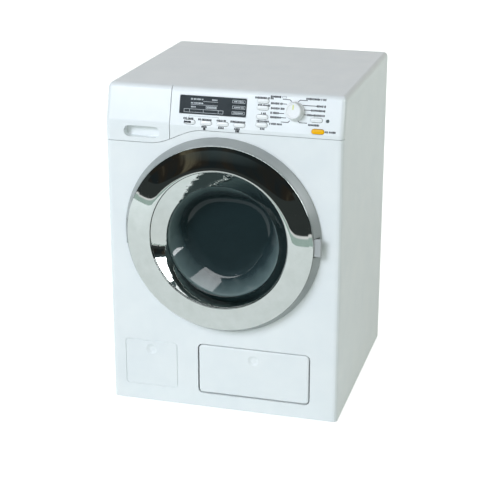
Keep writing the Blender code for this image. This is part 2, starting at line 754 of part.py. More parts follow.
def make_front_panel():
    """The large front moulding, with the porthole collar, bosses behind it and the flap opening."""
    reach = HALF_WIDTH + OVERRUN
    seam = seam_line(-reach, reach, -SEAM / 2)
    region = [(-reach, -OVERRUN), (reach, -OVERRUN)] + seam[::-1]
    panel = front_layer_piece("front_panel", region)
    axis = (0, DOOR_AXIS_HEIGHT)
    add(panel, tube("collar", axis, PORTHOLE_RADIUS, PORTHOLE_RADIUS + COLLAR_WALL, -COLLAR_DEPTH, -WALL / 2,
                    steps=DRUM_STEPS))
    for k, place in enumerate(tub_post_places()):
        peg_end = -(TUB_FRONT_DEPTH + TUB_WALL)
        seat = -(TUB_FRONT_DEPTH - GAP)
        profile = [(0, peg_end), (TUB_PEG_RADIUS, peg_end), (TUB_PEG_RADIUS, seat), (TUB_POST_RADIUS, seat),
                   (TUB_POST_RADIUS, -WALL / 2), (0, -WALL / 2)]
        add(panel, turned(f"tub_post_{k}", profile, place, 14))
    rim = prism("flap_rim", flap_outline(FLAP_SEAM + FLAP_RIM_WALL), -FLAP_RIM_DEPTH, -WALL / 2)
    add(panel, rim)
    left, right, bottom, _ = flap_edges(FLAP_SEAM)
    for side, edge in (("left", left), ("right", right)):
        near, far = sorted((edge, edge - FLAP_BOSS_WIDTH if side == "left" else edge + FLAP_BOSS_WIDTH))
        add(panel, block(f"flap_boss_{side}", (near, bottom, -FLAP_RIM_DEPTH),
                         (far, bottom + FLAP_BOSS_HEIGHT, -WALL / 2), FRONT_VIEW))
    cut(panel, rod("porthole", axis, PORTHOLE_RADIUS, -WALL - OVERRUN, OVERRUN, steps=DRUM_STEPS))
    cut(panel, prism("flap_opening", flap_outline(FLAP_SEAM), -FLAP_RIM_DEPTH - OVERRUN, OVERRUN))
    bore_reach = FLAP_BOSS_WIDTH - FLAP_SEAM
    cut(panel, rod("flap_pin_bore", (FLAP_HINGE_DEPTH, flap_hinge_height()), FLAP_PIN_RADIUS + GAP,
                   left - bore_reach, right + bore_reach, SIDE_VIEW, steps=16))
    cut(panel, hook_slot("panel_hook_slot", -WALL - OVERRUN, OVERRUN))
    add_square_groove(panel)
    return panel


def add_square_groove(panel):
    """The false flap on the left: a shallow moulded groove round a square, and its dimple."""
    middle = (SQUARE_MIDDLE_X, SQUARE_BOTTOM + SQUARE_HEIGHT / 2)
    groove = prism("square_groove", rounded_rectangle(middle, SQUARE_WIDTH, SQUARE_HEIGHT,
                                                      FLAP_CORNER_RADIUS, 3),
                   -SQUARE_GROOVE_DEPTH, OVERRUN)
    land = prism("square_land", rounded_rectangle(middle, SQUARE_WIDTH - 2 * SQUARE_GROOVE_WIDTH,
                                                  SQUARE_HEIGHT - 2 * SQUARE_GROOVE_WIDTH,
                                                  FLAP_CORNER_RADIUS - SQUARE_GROOVE_WIDTH, 3),
                 -SQUARE_GROOVE_DEPTH - OVERRUN, OVERRUN + GAP)
    cut(groove, land)
    cut(panel, groove)
    dimple_height = SQUARE_BOTTOM + SQUARE_HEIGHT - SQUARE_DIMPLE_BELOW_TOP
    cut(panel, dimple("square_dimple", (SQUARE_MIDDLE_X, dimple_height)))


def dimple(name, place):
    """A shallow dish cut into a front face."""
    profile = [(0, -DIMPLE_DEPTH), (DIMPLE_RADIUS / 2, -DIMPLE_DEPTH), (DIMPLE_RADIUS, 0),
               (DIMPLE_RADIUS, OVERRUN), (0, OVERRUN)]
    return turned(name, profile, place, 20)


def flap_hinge_height():
    return FLAP_BOTTOM + FLAP_HINGE_ABOVE_EDGE


def make_flap():
    """The service flap: a rounded plate with a knuckle at each lower corner."""
    levels = [(flap_outline(0), -FLAP_THICKNESS)]
    for k in range(FLAP_ROUND_STEPS + 1):
        turn = math.pi / 2 * k / FLAP_ROUND_STEPS
        levels.append((flap_outline(FLAP_EDGE_ROUND * (math.cos(turn) - 1)),
                       FLAP_EDGE_ROUND * (math.sin(turn) - 1)))
    flap = stacked("service_flap", levels, FRONT_VIEW, white_plastic())
    left, right, _, top = flap_edges(0)
    hinge = (FLAP_HINGE_DEPTH, flap_hinge_height())
    knuckles = [rod(f"flap_knuckle_{k}", hinge, FLAP_KNUCKLE_RADIUS, start, start + FLAP_KNUCKLE_LENGTH,
                    SIDE_VIEW, steps=18)
                for k, start in enumerate((left + FLAP_SEAM, right - FLAP_SEAM - FLAP_KNUCKLE_LENGTH))]
    add(flap, joined("flap_knuckles", knuckles))
    reach = FLAP_KNUCKLE_LENGTH - FLAP_SEAM
    bores = [rod(f"flap_bore_{k}", hinge, FLAP_PIN_RADIUS + GAP, start, end, SIDE_VIEW, steps=16)
             for k, (start, end) in enumerate(((left - OVERRUN, left + reach),
                                               (right - reach, right + OVERRUN)))]
    cut(flap, joined("flap_bores", bores))
    cut(flap, dimple("flap_dimple", (FLAP_MIDDLE_X, top - FLAP_DIMPLE_BELOW_TOP)))
    for side, start, end in (("left", left - FLAP_BOSS_WIDTH + FLAP_SEAM / 2, left + reach - GAP),
                             ("right", right - reach + GAP, right + FLAP_BOSS_WIDTH - FLAP_SEAM / 2)):
        rod(f"flap_hinge_pin_{side}", hinge, FLAP_PIN_RADIUS, start, end, SIDE_VIEW, steel(), 14)
    return flap


def make_compartment():
    """The box behind the flap, open to the front."""
    left, right, bottom, top = flap_edges(FLAP_SEAM)
    front = FLAP_RIM_DEPTH + GAP
    wall = COMPARTMENT_WALL
    box = block("flap_compartment", (left - wall, front, bottom - wall),
                (right + wall, COMPARTMENT_BACK_DEPTH, top + wall), material=light_grey_plastic())
    cut(box, block("compartment_inside", (left, front - OVERRUN, bottom),
                   (right, COMPARTMENT_BACK_DEPTH - wall, top)))
    return box


def make_control_fascia():
    """The control panel on the right of the drawer, with its openings and the posts for the board."""
    reach = HALF_WIDTH + OVERRUN
    left = DRAWER_EDGE_X + DRAWER_SEAM
    region = seam_line(left, reach, SEAM / 2) + [(reach, CABINET_HEIGHT + OVERRUN),
                                                 (left, CABINET_HEIGHT + OVERRUN)]
    fascia = front_layer_piece("control_fascia", region)
    for k, x in enumerate(BOARD_POST_XS):
        peg_end = -(board_front() + BOARD_THICKNESS)
        seat = -(board_front() - GAP)
        profile = [(0, peg_end), (BOARD_PEG_RADIUS, peg_end), (BOARD_PEG_RADIUS, seat),
                   (BOARD_POST_RADIUS, seat),
                   (BOARD_POST_RADIUS, -WALL / 2), (0, -WALL / 2)]
        add(fascia, turned(f"board_post_{k}", profile, (x, BOARD_POST_SLOPE), 14, FASCIA_VIEW))
    pocket = rounded_rectangle((DISPLAY_MIDDLE_X, DISPLAY_MIDDLE_SLOPE), DISPLAY_WIDTH + 2 * GAP,
                               DISPLAY_HEIGHT + 2 * GAP, DISPLAY_CORNER_RADIUS, 1)
    cut(fascia, prism("display_pocket", pocket, -DISPLAY_POCKET, OVERRUN, FASCIA_VIEW))
    holes = [prism(f"button_hole_{name}", pill(place, width + 2 * BUTTON_CLEARANCE,
                                               height + 2 * BUTTON_CLEARANCE),
                   -WALL - OVERRUN, OVERRUN, FASCIA_VIEW) for name, place, width, height, _ in buttons()]
    holes.append(rod("knob_hole", (KNOB_X, KNOB_SLOPE), KNOB_STEM_RADIUS + RUNNING_GAP, -WALL - OVERRUN,
                     OVERRUN,
                     FASCIA_VIEW, steps=20))
    holes.append(rod("lamp_hole", (LAMP_X, LAMP_SLOPE), LAMP_RADIUS + GAP, -WALL - OVERRUN, OVERRUN,
                     FASCIA_VIEW, steps=16))
    cut(fascia, joined("fascia_holes", holes))
    return fascia


def buttons():
    """Name, place on the slope, width, height and material of every push button."""
    rows = []
    for k in range(OPTION_BUTTON_COUNT):
        place = (OPTION_BUTTON_FIRST_X + k * OPTION_BUTTON_PITCH, OPTION_BUTTON_SLOPE)
        rows.append((f"option_button_{k + 1}", place, BUTTON_WIDTH, BUTTON_HEIGHT, white_plastic()))
    for k, share in enumerate(PROGRAM_BUTTON_SLOPE_SHARES):
        place = (PROGRAM_BUTTON_X, share * FASCIA_SLOPE_LENGTH)
        rows.append((f"program_button_{k + 1}", place, BUTTON_WIDTH, BUTTON_HEIGHT, white_plastic()))
    rows.append(("start_button", (START_BUTTON_X, START_BUTTON_SLOPE), BUTTON_WIDTH, BUTTON_HEIGHT,
                 white_plastic()))
    rows.append(("power_button", (POWER_BUTTON_X, POWER_BUTTON_SLOPE), POWER_BUTTON_WIDTH,
                 POWER_BUTTON_HEIGHT,
                 yellow_plastic()))
    return rows


def flange_back():
    """Depth under the sloping face of a button's back when it is up."""
    return WALL + GAP + BUTTON_FLANGE_THICKNESS


def mat_front():
    return flange_back() + BUTTON_TRAVEL + GAP


def board_front():
    return mat_front() + MAT_THICKNESS + GAP


def make_buttons():
    """Push buttons: a pill-shaped cap and two wings that stop behind the control panel."""
    for name, place, width, height, material in buttons():
        outline = pill(place, width, height)
        face = pill(place, width - 2 * BUTTON_ROUND, height - 2 * BUTTON_ROUND)
        cap = stacked(name, [(outline, -flange_back()), (outline, BUTTON_PROUD - BUTTON_ROUND),
                             (face, BUTTON_PROUD)],
                      FASCIA_VIEW, material)
        wing = width / 2 + BUTTON_CLEARANCE + BUTTON_FLANGE_OVERHANG
        half = height / 2 - BUTTON_ROUND
        add(cap, block(name + "_wings", (place[0] - wing, place[1] - half, -flange_back() + BUTTON_ROUND / 2),
                       (place[0] + wing, place[1] + half, -(WALL + GAP)), FASCIA_VIEW))


def make_controls():
    """Display window, lamp, knob, its switch, the rubber mat and the circuit board."""
    window = rounded_rectangle((DISPLAY_MIDDLE_X, DISPLAY_MIDDLE_SLOPE), DISPLAY_WIDTH, DISPLAY_HEIGHT,
                               DISPLAY_CORNER_RADIUS, 1)
    prism("display_window", window, -DISPLAY_THICKNESS, 0, FASCIA_VIEW, display_plastic())
    turned("indicator_lamp", [(0, -mat_front()), (LAMP_FLANGE_RADIUS, -mat_front()),
                              (LAMP_FLANGE_RADIUS, -(WALL + GAP)),
                              (LAMP_RADIUS, -(WALL + GAP)), (LAMP_RADIUS, 0), (0, GAP)],
           (LAMP_X, LAMP_SLOPE), 16, FASCIA_VIEW, dark_plastic())
    stem_end = -(board_front() - 2 * GAP)
    knob_profile = [(0, stem_end), (KNOB_STEM_RADIUS, stem_end), (KNOB_STEM_RADIUS, GAP),
                    (KNOB_BASE_RADIUS, GAP),
                    (KNOB_BASE_RADIUS, GAP + KNOB_SKIRT),
                    (KNOB_FACE_RADIUS + KNOB_ROUND / 3, KNOB_PROUD - KNOB_ROUND),
                    (KNOB_FACE_RADIUS - KNOB_ROUND / 3, KNOB_PROUD - KNOB_ROUND / 3),
                    (KNOB_FACE_RADIUS - KNOB_ROUND, KNOB_PROUD), (0, KNOB_PROUD)]
    turned("selector_knob", knob_profile, (KNOB_X, KNOB_SLOPE), KNOB_STEPS, FASCIA_VIEW, light_grey_plastic())
    half = SWITCH_SIZE / 2
    switch = block("selector_switch", (KNOB_X - half, KNOB_SLOPE - half, -(board_front() - GAP)),
                   (KNOB_X + half, KNOB_SLOPE + half, -(WALL + 2 * GAP)), FASCIA_VIEW, dark_plastic())
    cut(switch, rod("switch_bore", (KNOB_X, KNOB_SLOPE), KNOB_STEM_RADIUS + GAP, -(board_front() + OVERRUN),
                    OVERRUN,
                    FASCIA_VIEW, steps=20))
    make_mat()
    board = block("circuit_board", (BOARD_LEFT, BOARD_LOW_SLOPE, -(board_front() + BOARD_THICKNESS)),
                  (BOARD_RIGHT, BOARD_HIGH_SLOPE, -board_front()), FASCIA_VIEW, board_green())
    holes = [rod(f"board_hole_{k}", (x, BOARD_POST_SLOPE), BOARD_PEG_RADIUS + GAP,
                 -(board_front() + BOARD_THICKNESS + OVERRUN),
                 -board_front() + OVERRUN, FASCIA_VIEW, steps=12) for k, x in enumerate(BOARD_POST_XS)]
    cut(board, joined("board_holes", holes))


def make_mat():
    """Rubber mat under the buttons: a strip under the lower row and two arms up under the other buttons."""
    back, front = -(mat_front() + MAT_THICKNESS), -mat_front()
    low = OPTION_BUTTON_SLOPE - BUTTON_HEIGHT / 2
    strip_top = OPTION_BUTTON_SLOPE + BUTTON_HEIGHT / 2 + MAT_MARGIN
    strip_left = OPTION_BUTTON_FIRST_X - BUTTON_WIDTH / 2 - MAT_MARGIN
    strip_right = POWER_BUTTON_X + POWER_BUTTON_WIDTH / 2
    half = BUTTON_WIDTH / 2
    arms = ((START_BUTTON_X, START_BUTTON_SLOPE + BUTTON_HEIGHT / 2),
            (PROGRAM_BUTTON_X, PROGRAM_BUTTON_SLOPE_SHARES[0] * FASCIA_SLOPE_LENGTH + BUTTON_HEIGHT / 2))
    outline = [(strip_left, low), (strip_right, low), (strip_right, strip_top)]
    for x, top in arms:
        outline += [(x + half, strip_top), (x + half, top), (x - half, top), (x - half, strip_top)]
    outline.append((strip_left, strip_top))
    return prism("button_mat", outline, back, front, FASCIA_VIEW, rubber())


def screw(name, place, under_head, direction, length, frame):
    """A screw whose head bears at under_head and whose shank runs along direction, 1 or -1, in z."""
    tip = under_head + direction * length
    top = under_head - direction * SCREW_HEAD_THICKNESS
    profile = [(0, top), (SCREW_HEAD_RADIUS, top), (SCREW_HEAD_RADIUS, under_head),
               (SCREW_RADIUS, under_head),
               (SCREW_RADIUS, tip), (0, tip)]
    return turned(name, profile, place, 12, frame, steel())


def make_drawer():
    """The detergent drawer: its front with the grip, and a tray with two compartments."""
    reach = HALF_WIDTH + OVERRUN
    top = CABINET_HEIGHT + OVERRUN
    region = seam_line(-reach, DRAWER_EDGE_X, SEAM / 2) + [(DRAWER_EDGE_X, top), (-reach, top)]
    drawer = front_layer_piece("detergent_drawer", region)
    left = TRAY_FROM_SIDE - HALF_WIDTH
    right = left + TRAY_WIDTH
    bottom, back = tray_bottom(), TRAY_FRONT_DEPTH + TRAY_LENGTH
    grip_outline = rounded_rectangle(grip_middle(), GRIP_WIDTH, GRIP_HEIGHT, GRIP_HEIGHT / 2, 8)
    backing = rounded_rectangle(grip_middle(), GRIP_WIDTH + 2 * GRIP_BACKING, GRIP_HEIGHT + GRIP_BACKING,
                                (GRIP_HEIGHT + GRIP_BACKING) / 2, 8)
    add(drawer, prism("grip_backing", backing, -(TRAY_FRONT_DEPTH + TRAY_WALL / 2), -WALL / 2))
    add(drawer, block("tray_body", (left, TRAY_FRONT_DEPTH, bottom), (right, back, bottom + TRAY_HEIGHT)))
    divider = left + TRAY_WIDTH * TRAY_DIVIDER_SHARE
    for name, low, high in (("left", left + TRAY_WALL, divider - TRAY_WALL / 2),
                            ("right", divider + TRAY_WALL / 2, right - TRAY_WALL)):
        cut(drawer, block(f"tray_{name}", (low, TRAY_FRONT_DEPTH + TRAY_WALL, bottom + TRAY_WALL),
                          (high, back - TRAY_WALL, bottom + TRAY_HEIGHT + OVERRUN)))
    far_left = grip_middle()[0] - GRIP_WIDTH / 2

    def grip_floor(x):
        share = (x - far_left) / GRIP_WIDTH
        return -(GRIP_DEEP + (GRIP_SHALLOW - GRIP_DEEP) * share)

    cut(drawer, prism("grip", grip_outline, OVERRUN, 0, end_depths=grip_floor))
    return drawer


def tray_bottom():
    return SEAM_LOW + TRAY_ABOVE_SEAM


def grip_middle():
    return (GRIP_MIDDLE_FROM_SIDE - HALF_WIDTH, SEAM_LOW + GRIP_ABOVE_SEAM + GRIP_HEIGHT / 2)


def make_drawer_housing():
    """The channel that the tray slides in, against the cabinet's left side."""
    tray_left = TRAY_FROM_SIDE - HALF_WIDTH
    inner_left, inner_right = tray_left - RUNNING_GAP, tray_left + TRAY_WIDTH + RUNNING_GAP
    inner_bottom = tray_bottom() - RUNNING_GAP
    back = TRAY_FRONT_DEPTH + TRAY_LENGTH + HOUSING_BEHIND_TRAY
    outer_left = -INNER_HALF_WIDTH + GAP
    top = tray_bottom() + TRAY_HEIGHT
    housing = block("drawer_housing", (outer_left, HOUSING_FRONT_DEPTH, inner_bottom - HOUSING_WALL),
                    (inner_right + HOUSING_WALL, back + HOUSING_WALL, top), material=light_grey_plastic())
    cut(housing, block("housing_inside", (inner_left, HOUSING_FRONT_DEPTH - OVERRUN, inner_bottom),
                       (inner_right, back, top + OVERRUN)))
    return housing


def axis_ring(name, profile, material, steps=RING_STEPS):
    """A ring turned about the door's axis, in the front view."""
    return turned(name, profile, (0, DOOR_AXIS_HEIGHT), steps, FRONT_VIEW, material)


def make_door_surround():
    """The grey ring fixed to the front: a shallow dish with a conical rim, and the hinge lugs."""
    rim_top = CHROME_BACK_PROUD - GAP
    rim_inner = SURROUND_RADIUS - SURROUND_CONE_WIDTH - SURROUND_RIM_WALL
    floor = GAP + WALL
    profile = [(PORTHOLE_RADIUS + GAP, GAP), (SURROUND_RADIUS, GAP), (SURROUND_RADIUS, SURROUND_FOOT),
               (SURROUND_RADIUS - SURROUND_CONE_WIDTH, rim_top), (rim_inner, rim_top), (rim_inner, floor),
               (PORTHOLE_RADIUS + GAP, floor)]
    surround = axis_ring("door_surround", profile, grey_plastic())
    half = HINGE_BARREL_LENGTH / 2 + GAP
    lugs = [rod(f"hinge_lug_{side}", (HINGE_X, -HINGE_PROUD), HINGE_BARREL_RADIUS,
                *sorted((DOOR_AXIS_HEIGHT + side * half,
                         DOOR_AXIS_HEIGHT + side * (half + HINGE_LUG_LENGTH))),
                PLAN_VIEW, steps=18) for side in (-1, 1)]
    add(surround, *lugs)
    clear = HINGE_BARREL_RADIUS + RUNNING_GAP
    reach = clear + OVERRUN
    cut(surround, block("hinge_notch", (HINGE_X - reach, DOOR_AXIS_HEIGHT - half, HINGE_PROUD - clear),
                        (HINGE_X + reach, DOOR_AXIS_HEIGHT + half, rim_top + OVERRUN), FRONT_VIEW))
    lug_end = half + HINGE_LUG_LENGTH + OVERRUN
    cut(surround, rod("hinge_bore", (HINGE_X, -HINGE_PROUD), HINGE_PIN_RADIUS + GAP,
                      DOOR_AXIS_HEIGHT - lug_end,
                      DOOR_AXIS_HEIGHT + lug_end, PLAN_VIEW, steps=16))
    tab_half = TAB_HEIGHT / 2 + RUNNING_GAP
    cut(surround, block("tab_notch", (TAB_INNER_X, DOOR_AXIS_HEIGHT - tab_half, TAB_BACK_PROUD - RUNNING_GAP),
                        (TAB_OUTER_X + OVERRUN, DOOR_AXIS_HEIGHT + tab_half, rim_top + OVERRUN), FRONT_VIEW))
    cut(surround, hook_slot("surround_hook_slot", -OVERRUN, floor + OVERRUN))
    rod("door_hinge_pin", (HINGE_X, -HINGE_PROUD), HINGE_PIN_RADIUS,
        DOOR_AXIS_HEIGHT - half - HINGE_LUG_LENGTH,
        DOOR_AXIS_HEIGHT + half + HINGE_LUG_LENGTH, PLAN_VIEW, steel(), 16)
    return surround


def make_chrome_ring():
    """The plated outer ring: a flat cone that rises from its shoulder to the crest."""
    inner = CREST_RADIUS - CREST_ROUND
    outer = CHROME_RADIUS
    shoulder = outer - CHROME_SHOULDER_WIDTH
    profile = [(outer, CHROME_BACK_PROUD), (outer, CHROME_SHOULDER_PROUD - CHROME_SHOULDER_WIDTH / 2),
               (outer - CHROME_SHOULDER_WIDTH / 3, CHROME_SHOULDER_PROUD - CHROME_SHOULDER_WIDTH / 6),
               (shoulder, CHROME_SHOULDER_PROUD), (CREST_RADIUS + CREST_ROUND / 2, CREST_PROUD),
               (CREST_RADIUS - CREST_ROUND / 3, CREST_PROUD - CREST_ROUND / 4),
               (inner, CREST_PROUD - CREST_ROUND),
               (inner, CREST_PROUD - CHROME_WALL), (CREST_RADIUS + CHROME_WALL, CREST_PROUD - CHROME_WALL),
               (shoulder, CHROME_BACK_PROUD)]
    return axis_ring("door_chrome_ring", profile, chrome())


def make_inner_ring():
    """The funnel from the crest to the window, a cone and a lip. It leans, as the window sits lower."""
    top_radius = CREST_RADIUS - CREST_ROUND - GAP
    top = CREST_PROUD - FUNNEL_TOP_DROP
    bottom = FUNNEL_LIP_DEPTH - WINDOW_SINK
    wall = FUNNEL_WALL
    front, back = [], []
    for k in range(FUNNEL_ROWS + 1):
        share = k / FUNNEL_ROWS
        radius = top_radius + (WINDOW_RADIUS - top_radius) * share
        front.append((radius, top + (bottom - top) * share, -WINDOW_DROP * share))
    front.append((WINDOW_RADIUS, -WINDOW_SINK, -WINDOW_DROP))
    back.append((WINDOW_RADIUS + wall, -WINDOW_SINK, -WINDOW_DROP))
    flange_back = FUNNEL_FLANGE_PROUD - FUNNEL_FLANGE_THICKNESS
    flange_share = (top - flange_back) / (top - bottom)
    for k in range(FUNNEL_ROWS, -1, -1):
        share = flange_share + (1 - flange_share) * k / FUNNEL_ROWS
        radius = top_radius + (WINDOW_RADIUS - top_radius) * share + wall
        back.append((radius, top + (bottom - top) * share, -WINDOW_DROP * share))
    neck = top_radius + CREST_ROUND / 2
    profile = front + back + [(FUNNEL_FLANGE_RADIUS, flange_back),
                              (FUNNEL_FLANGE_RADIUS, FUNNEL_FLANGE_PROUD),
                              (neck, FUNNEL_FLANGE_PROUD)]
    return axis_ring("door_inner_ring", profile, chrome())


def make_window():
    """The smoked bowl: a flange behind the funnel, a sloping wall and a gently domed floor."""
    front = -(WINDOW_SINK + GAP)
    back = front - WINDOW_WALL
    inner_radius = WINDOW_RADIUS - WINDOW_WALL
    inside, outside = [], []
    for radius_share, depth_share in zip(WINDOW_RADIUS_SHARES, WINDOW_DEPTH_SHARES):
        inside.append((inner_radius * radius_share, front - WINDOW_BULGE * depth_share))
        outside.append((WINDOW_RADIUS * radius_share, back - WINDOW_BULGE * depth_share))
    profile = outside[::-1] + [(WINDOW_FLANGE_RADIUS, back), (WINDOW_FLANGE_RADIUS, front)] + inside
    centre = (0, DOOR_AXIS_HEIGHT - WINDOW_DROP)
    return turned("door_window", profile, centre, RING_STEPS, FRONT_VIEW, smoked_plastic())


def make_back_frame():
    """The door's back: a channel ring under the chrome, the hinge barrel and the catch hook."""
    outer = SURROUND_RADIUS - SURROUND_CONE_WIDTH - SURROUND_RIM_WALL - BACK_FRAME_CLEARANCE
    wall = BACK_FRAME_WALL
    inner = BACK_FRAME_INNER_RADIUS
    low, floor = BACK_FRAME_PROUD, BACK_FRAME_PROUD + wall
    outer_top = CHROME_BACK_PROUD - RUNNING_GAP
    inner_top = FUNNEL_FLANGE_PROUD - FUNNEL_FLANGE_THICKNESS - GAP
    profile = [(inner, low), (outer, low), (outer, outer_top), (outer - wall, outer_top),
               (outer - wall, floor),
               (inner + wall, floor), (inner + wall, inner_top), (inner, inner_top)]
    frame = axis_ring("door_back_frame", profile, dark_plastic())
    half = HINGE_BARREL_LENGTH / 2
    barrel = rod("hinge_barrel", (HINGE_X, -HINGE_PROUD), HINGE_BARREL_RADIUS, DOOR_AXIS_HEIGHT - half,
                 DOOR_AXIS_HEIGHT + half, PLAN_VIEW, steps=18)
    arm_half = HINGE_ARM_THICKNESS / 2
    arm = block("hinge_arm", (HINGE_X, DOOR_AXIS_HEIGHT - half + GAP, HINGE_PROUD - arm_half),
                (-(outer - wall / 2), DOOR_AXIS_HEIGHT + half - GAP, HINGE_PROUD + arm_half), FRONT_VIEW)
    hook = block("catch_hook", (HOOK_X, DOOR_AXIS_HEIGHT - HOOK_HEIGHT / 2, -HOOK_REACH),
                 (HOOK_X + HOOK_WIDTH, DOOR_AXIS_HEIGHT + HOOK_HEIGHT / 2, low + wall / 2), FRONT_VIEW)
    add(frame, barrel, arm, hook)
    cut(frame, rod("barrel_bore", (HINGE_X, -HINGE_PROUD), HINGE_PIN_RADIUS + GAP,
                   DOOR_AXIS_HEIGHT - half - OVERRUN, DOOR_AXIS_HEIGHT + half + OVERRUN, PLAN_VIEW, steps=16))
    tab_half = TAB_HEIGHT / 2 + GAP
    cut(frame, block("tab_seat", (TAB_INNER_X - GAP, DOOR_AXIS_HEIGHT - tab_half, floor - GAP),
                     (TAB_OUTER_X, DOOR_AXIS_HEIGHT + tab_half, outer_top + OVERRUN), FRONT_VIEW))
    return frame


def make_pull_tab():
    """The light tab across the grey ring, pulled to open the door."""
    low = DOOR_AXIS_HEIGHT - TAB_HEIGHT / 2
    back = BACK_FRAME_PROUD + BACK_FRAME_WALL
    front = TAB_FRONT_PROUD
    tab = block("door_pull_tab", (TAB_INNER_X, low, back), (TAB_OUTER_X, low + TAB_HEIGHT, front), FRONT_VIEW,
                light_grey_plastic())
    round_edges(tab, TAB_ROUND, 2)
    return tab


def make_catch():
    """The cup behind the front panel that the door's hook clips into."""
    low = DOOR_AXIS_HEIGHT - HOOK_HEIGHT / 2 - RUNNING_GAP
    high = DOOR_AXIS_HEIGHT + HOOK_HEIGHT / 2 + RUNNING_GAP
    left, right = HOOK_X - RUNNING_GAP, HOOK_X + HOOK_WIDTH + RUNNING_GAP
    front = -(WALL + GAP)
    back = front - CATCH_DEPTH
    catch = block("door_catch", (left - CATCH_WALL, low - CATCH_WALL, back),
                  (right + CATCH_WALL, high + CATCH_WALL, front), FRONT_VIEW, nylon())
    cut(catch, block("catch_pocket", (left, low, back + CATCH_WALL), (right, high, front + OVERRUN),
                     FRONT_VIEW))
    return catch


def make_tub():
    """The fixed tub round the drum, with a front flange and a bearing hub behind."""
    outer = TUB_INNER_RADIUS + TUB_WALL
    front, back = -TUB_FRONT_DEPTH, -TUB_BACK_DEPTH
    bore = BEARING_OUTER_RADIUS + GAP
    profile = [(TUB_INNER_RADIUS, front), (TUB_FLANGE_RADIUS, front), (TUB_FLANGE_RADIUS, front - TUB_WALL),
               (outer, front - TUB_WALL), (outer, back), (HUB_RADIUS, back), (HUB_RADIUS, -HUB_BACK_DEPTH),
               (bore, -HUB_BACK_DEPTH), (bore, -HUB_FRONT_DEPTH), (HUB_RADIUS, -HUB_FRONT_DEPTH),
               (HUB_RADIUS, back + TUB_WALL), (TUB_INNER_RADIUS, back + TUB_WALL)]
    tub = axis_ring("drum_tub", profile, light_grey_plastic(), DRUM_STEPS)
    holes = [rod(f"tub_hole_{k}", place, TUB_PEG_RADIUS + GAP, front - TUB_WALL - OVERRUN, front + OVERRUN,
                 steps=12)
             for k, place in enumerate(tub_post_places())]
    cut(tub, joined("tub_holes", holes))
    return tub


def make_drum():
    """The turning drum: a perforated shell with a rolled mouth and a boss behind for its shaft."""
    inner = DRUM_RADIUS - DRUM_WALL
    front, back = -DRUM_FRONT_DEPTH, -DRUM_BACK_DEPTH
    bore = SHAFT_RADIUS + GAP
    profile = [(DRUM_MOUTH_RADIUS, front), (DRUM_RADIUS, front), (DRUM_RADIUS, back), (bore, back),
               (bore, back + DRUM_BOSS_LENGTH), (DRUM_BOSS_RADIUS, back + DRUM_BOSS_LENGTH),
               (DRUM_BOSS_RADIUS, back + DRUM_WALL), (inner, back + DRUM_WALL), (inner, front - DRUM_WALL),
               (DRUM_MOUTH_RADIUS, front - DRUM_WALL)]
    drum = axis_ring("drum", profile, drum_plastic(), DRUM_STEPS)
    holes = []
    for row in range(DRUM_HOLE_ROWS):
        depth = DRUM_HOLE_FIRST_DEPTH + row * DRUM_HOLE_PITCH
        for k in range(DRUM_HOLES_PER_ROW):
            angle = 2 * math.pi * (k + 0.5) / DRUM_HOLES_PER_ROW
            spoke = (Matrix.Translation((0, FRONT_Y + depth, DOOR_AXIS_HEIGHT))
                     @ Matrix.Rotation(angle, 4, "Y"))
            holes.append(rod(f"drum_hole_{row}_{k}", (0, 0), DRUM_HOLE_RADIUS, inner - OVERRUN,
                             DRUM_RADIUS + OVERRUN, spoke, steps=DRUM_HOLE_SIDES))
    add(drum, *drum_ribs())
    cut(drum, joined("drum_holes", holes))
    return drum


def drum_ribs():
    """Three ribs moulded inside the drum, which lift the washing."""
    half_base, half_top = RIB_BASE_WIDTH / 2, RIB_TOP_WIDTH / 2
    base, top = DRUM_RADIUS - DRUM_WALL / 2, DRUM_RADIUS - DRUM_WALL - RIB_HEIGHT
    outline = [(-half_base, base), (half_base, base), (half_top, top), (-half_top, top)]
    ribs = []
    for k in range(RIB_COUNT):
        angle = 2 * math.pi * k / RIB_COUNT + math.pi
        frame = (Matrix.Translation((0, FRONT_Y + RIB_FRONT_DEPTH, DOOR_AXIS_HEIGHT))
                 @ Matrix.Rotation(angle, 4, "Y") @ Matrix.Rotation(math.pi / 2, 4, "X"))
        rib = prism(f"drum_rib_{k + 1}", outline, -RIB_LENGTH, 0, frame)
        round_edges(rib, half_top / 2, 1)
        ribs.append(rib)
    return ribs


def make_drum_shaft():
    """Shaft, two bushes, pulley and its clip, all on the drum's axis."""
    axis = (0, DOOR_AXIS_HEIGHT)
    rod("drum_shaft", axis, SHAFT_RADIUS, -SHAFT_BACK_DEPTH, -SHAFT_FRONT_DEPTH, FRONT_VIEW, steel(), 20)
    for name, front in (("front_bearing", HUB_FRONT_DEPTH + GAP),
                        ("rear_bearing", HUB_BACK_DEPTH - BEARING_LENGTH)):
        tube(name, axis, SHAFT_RADIUS + GAP, BEARING_OUTER_RADIUS, -(front + BEARING_LENGTH - GAP), -front,
             FRONT_VIEW, nylon(), 20)
    pulley("drum_pulley", axis, PULLEY_RADIUS, SHAFT_RADIUS + GAP, PULLEY_HUB_RADIUS, PULLEY_STEPS)
    clip_front = PULLEY_FRONT_DEPTH + PULLEY_WIDTH + GAP
    tube("shaft_clip", axis, SHAFT_RADIUS + GAP, CLIP_RADIUS, -(clip_front + CLIP_THICKNESS), -clip_front,
         FRONT_VIEW, steel(), 20)


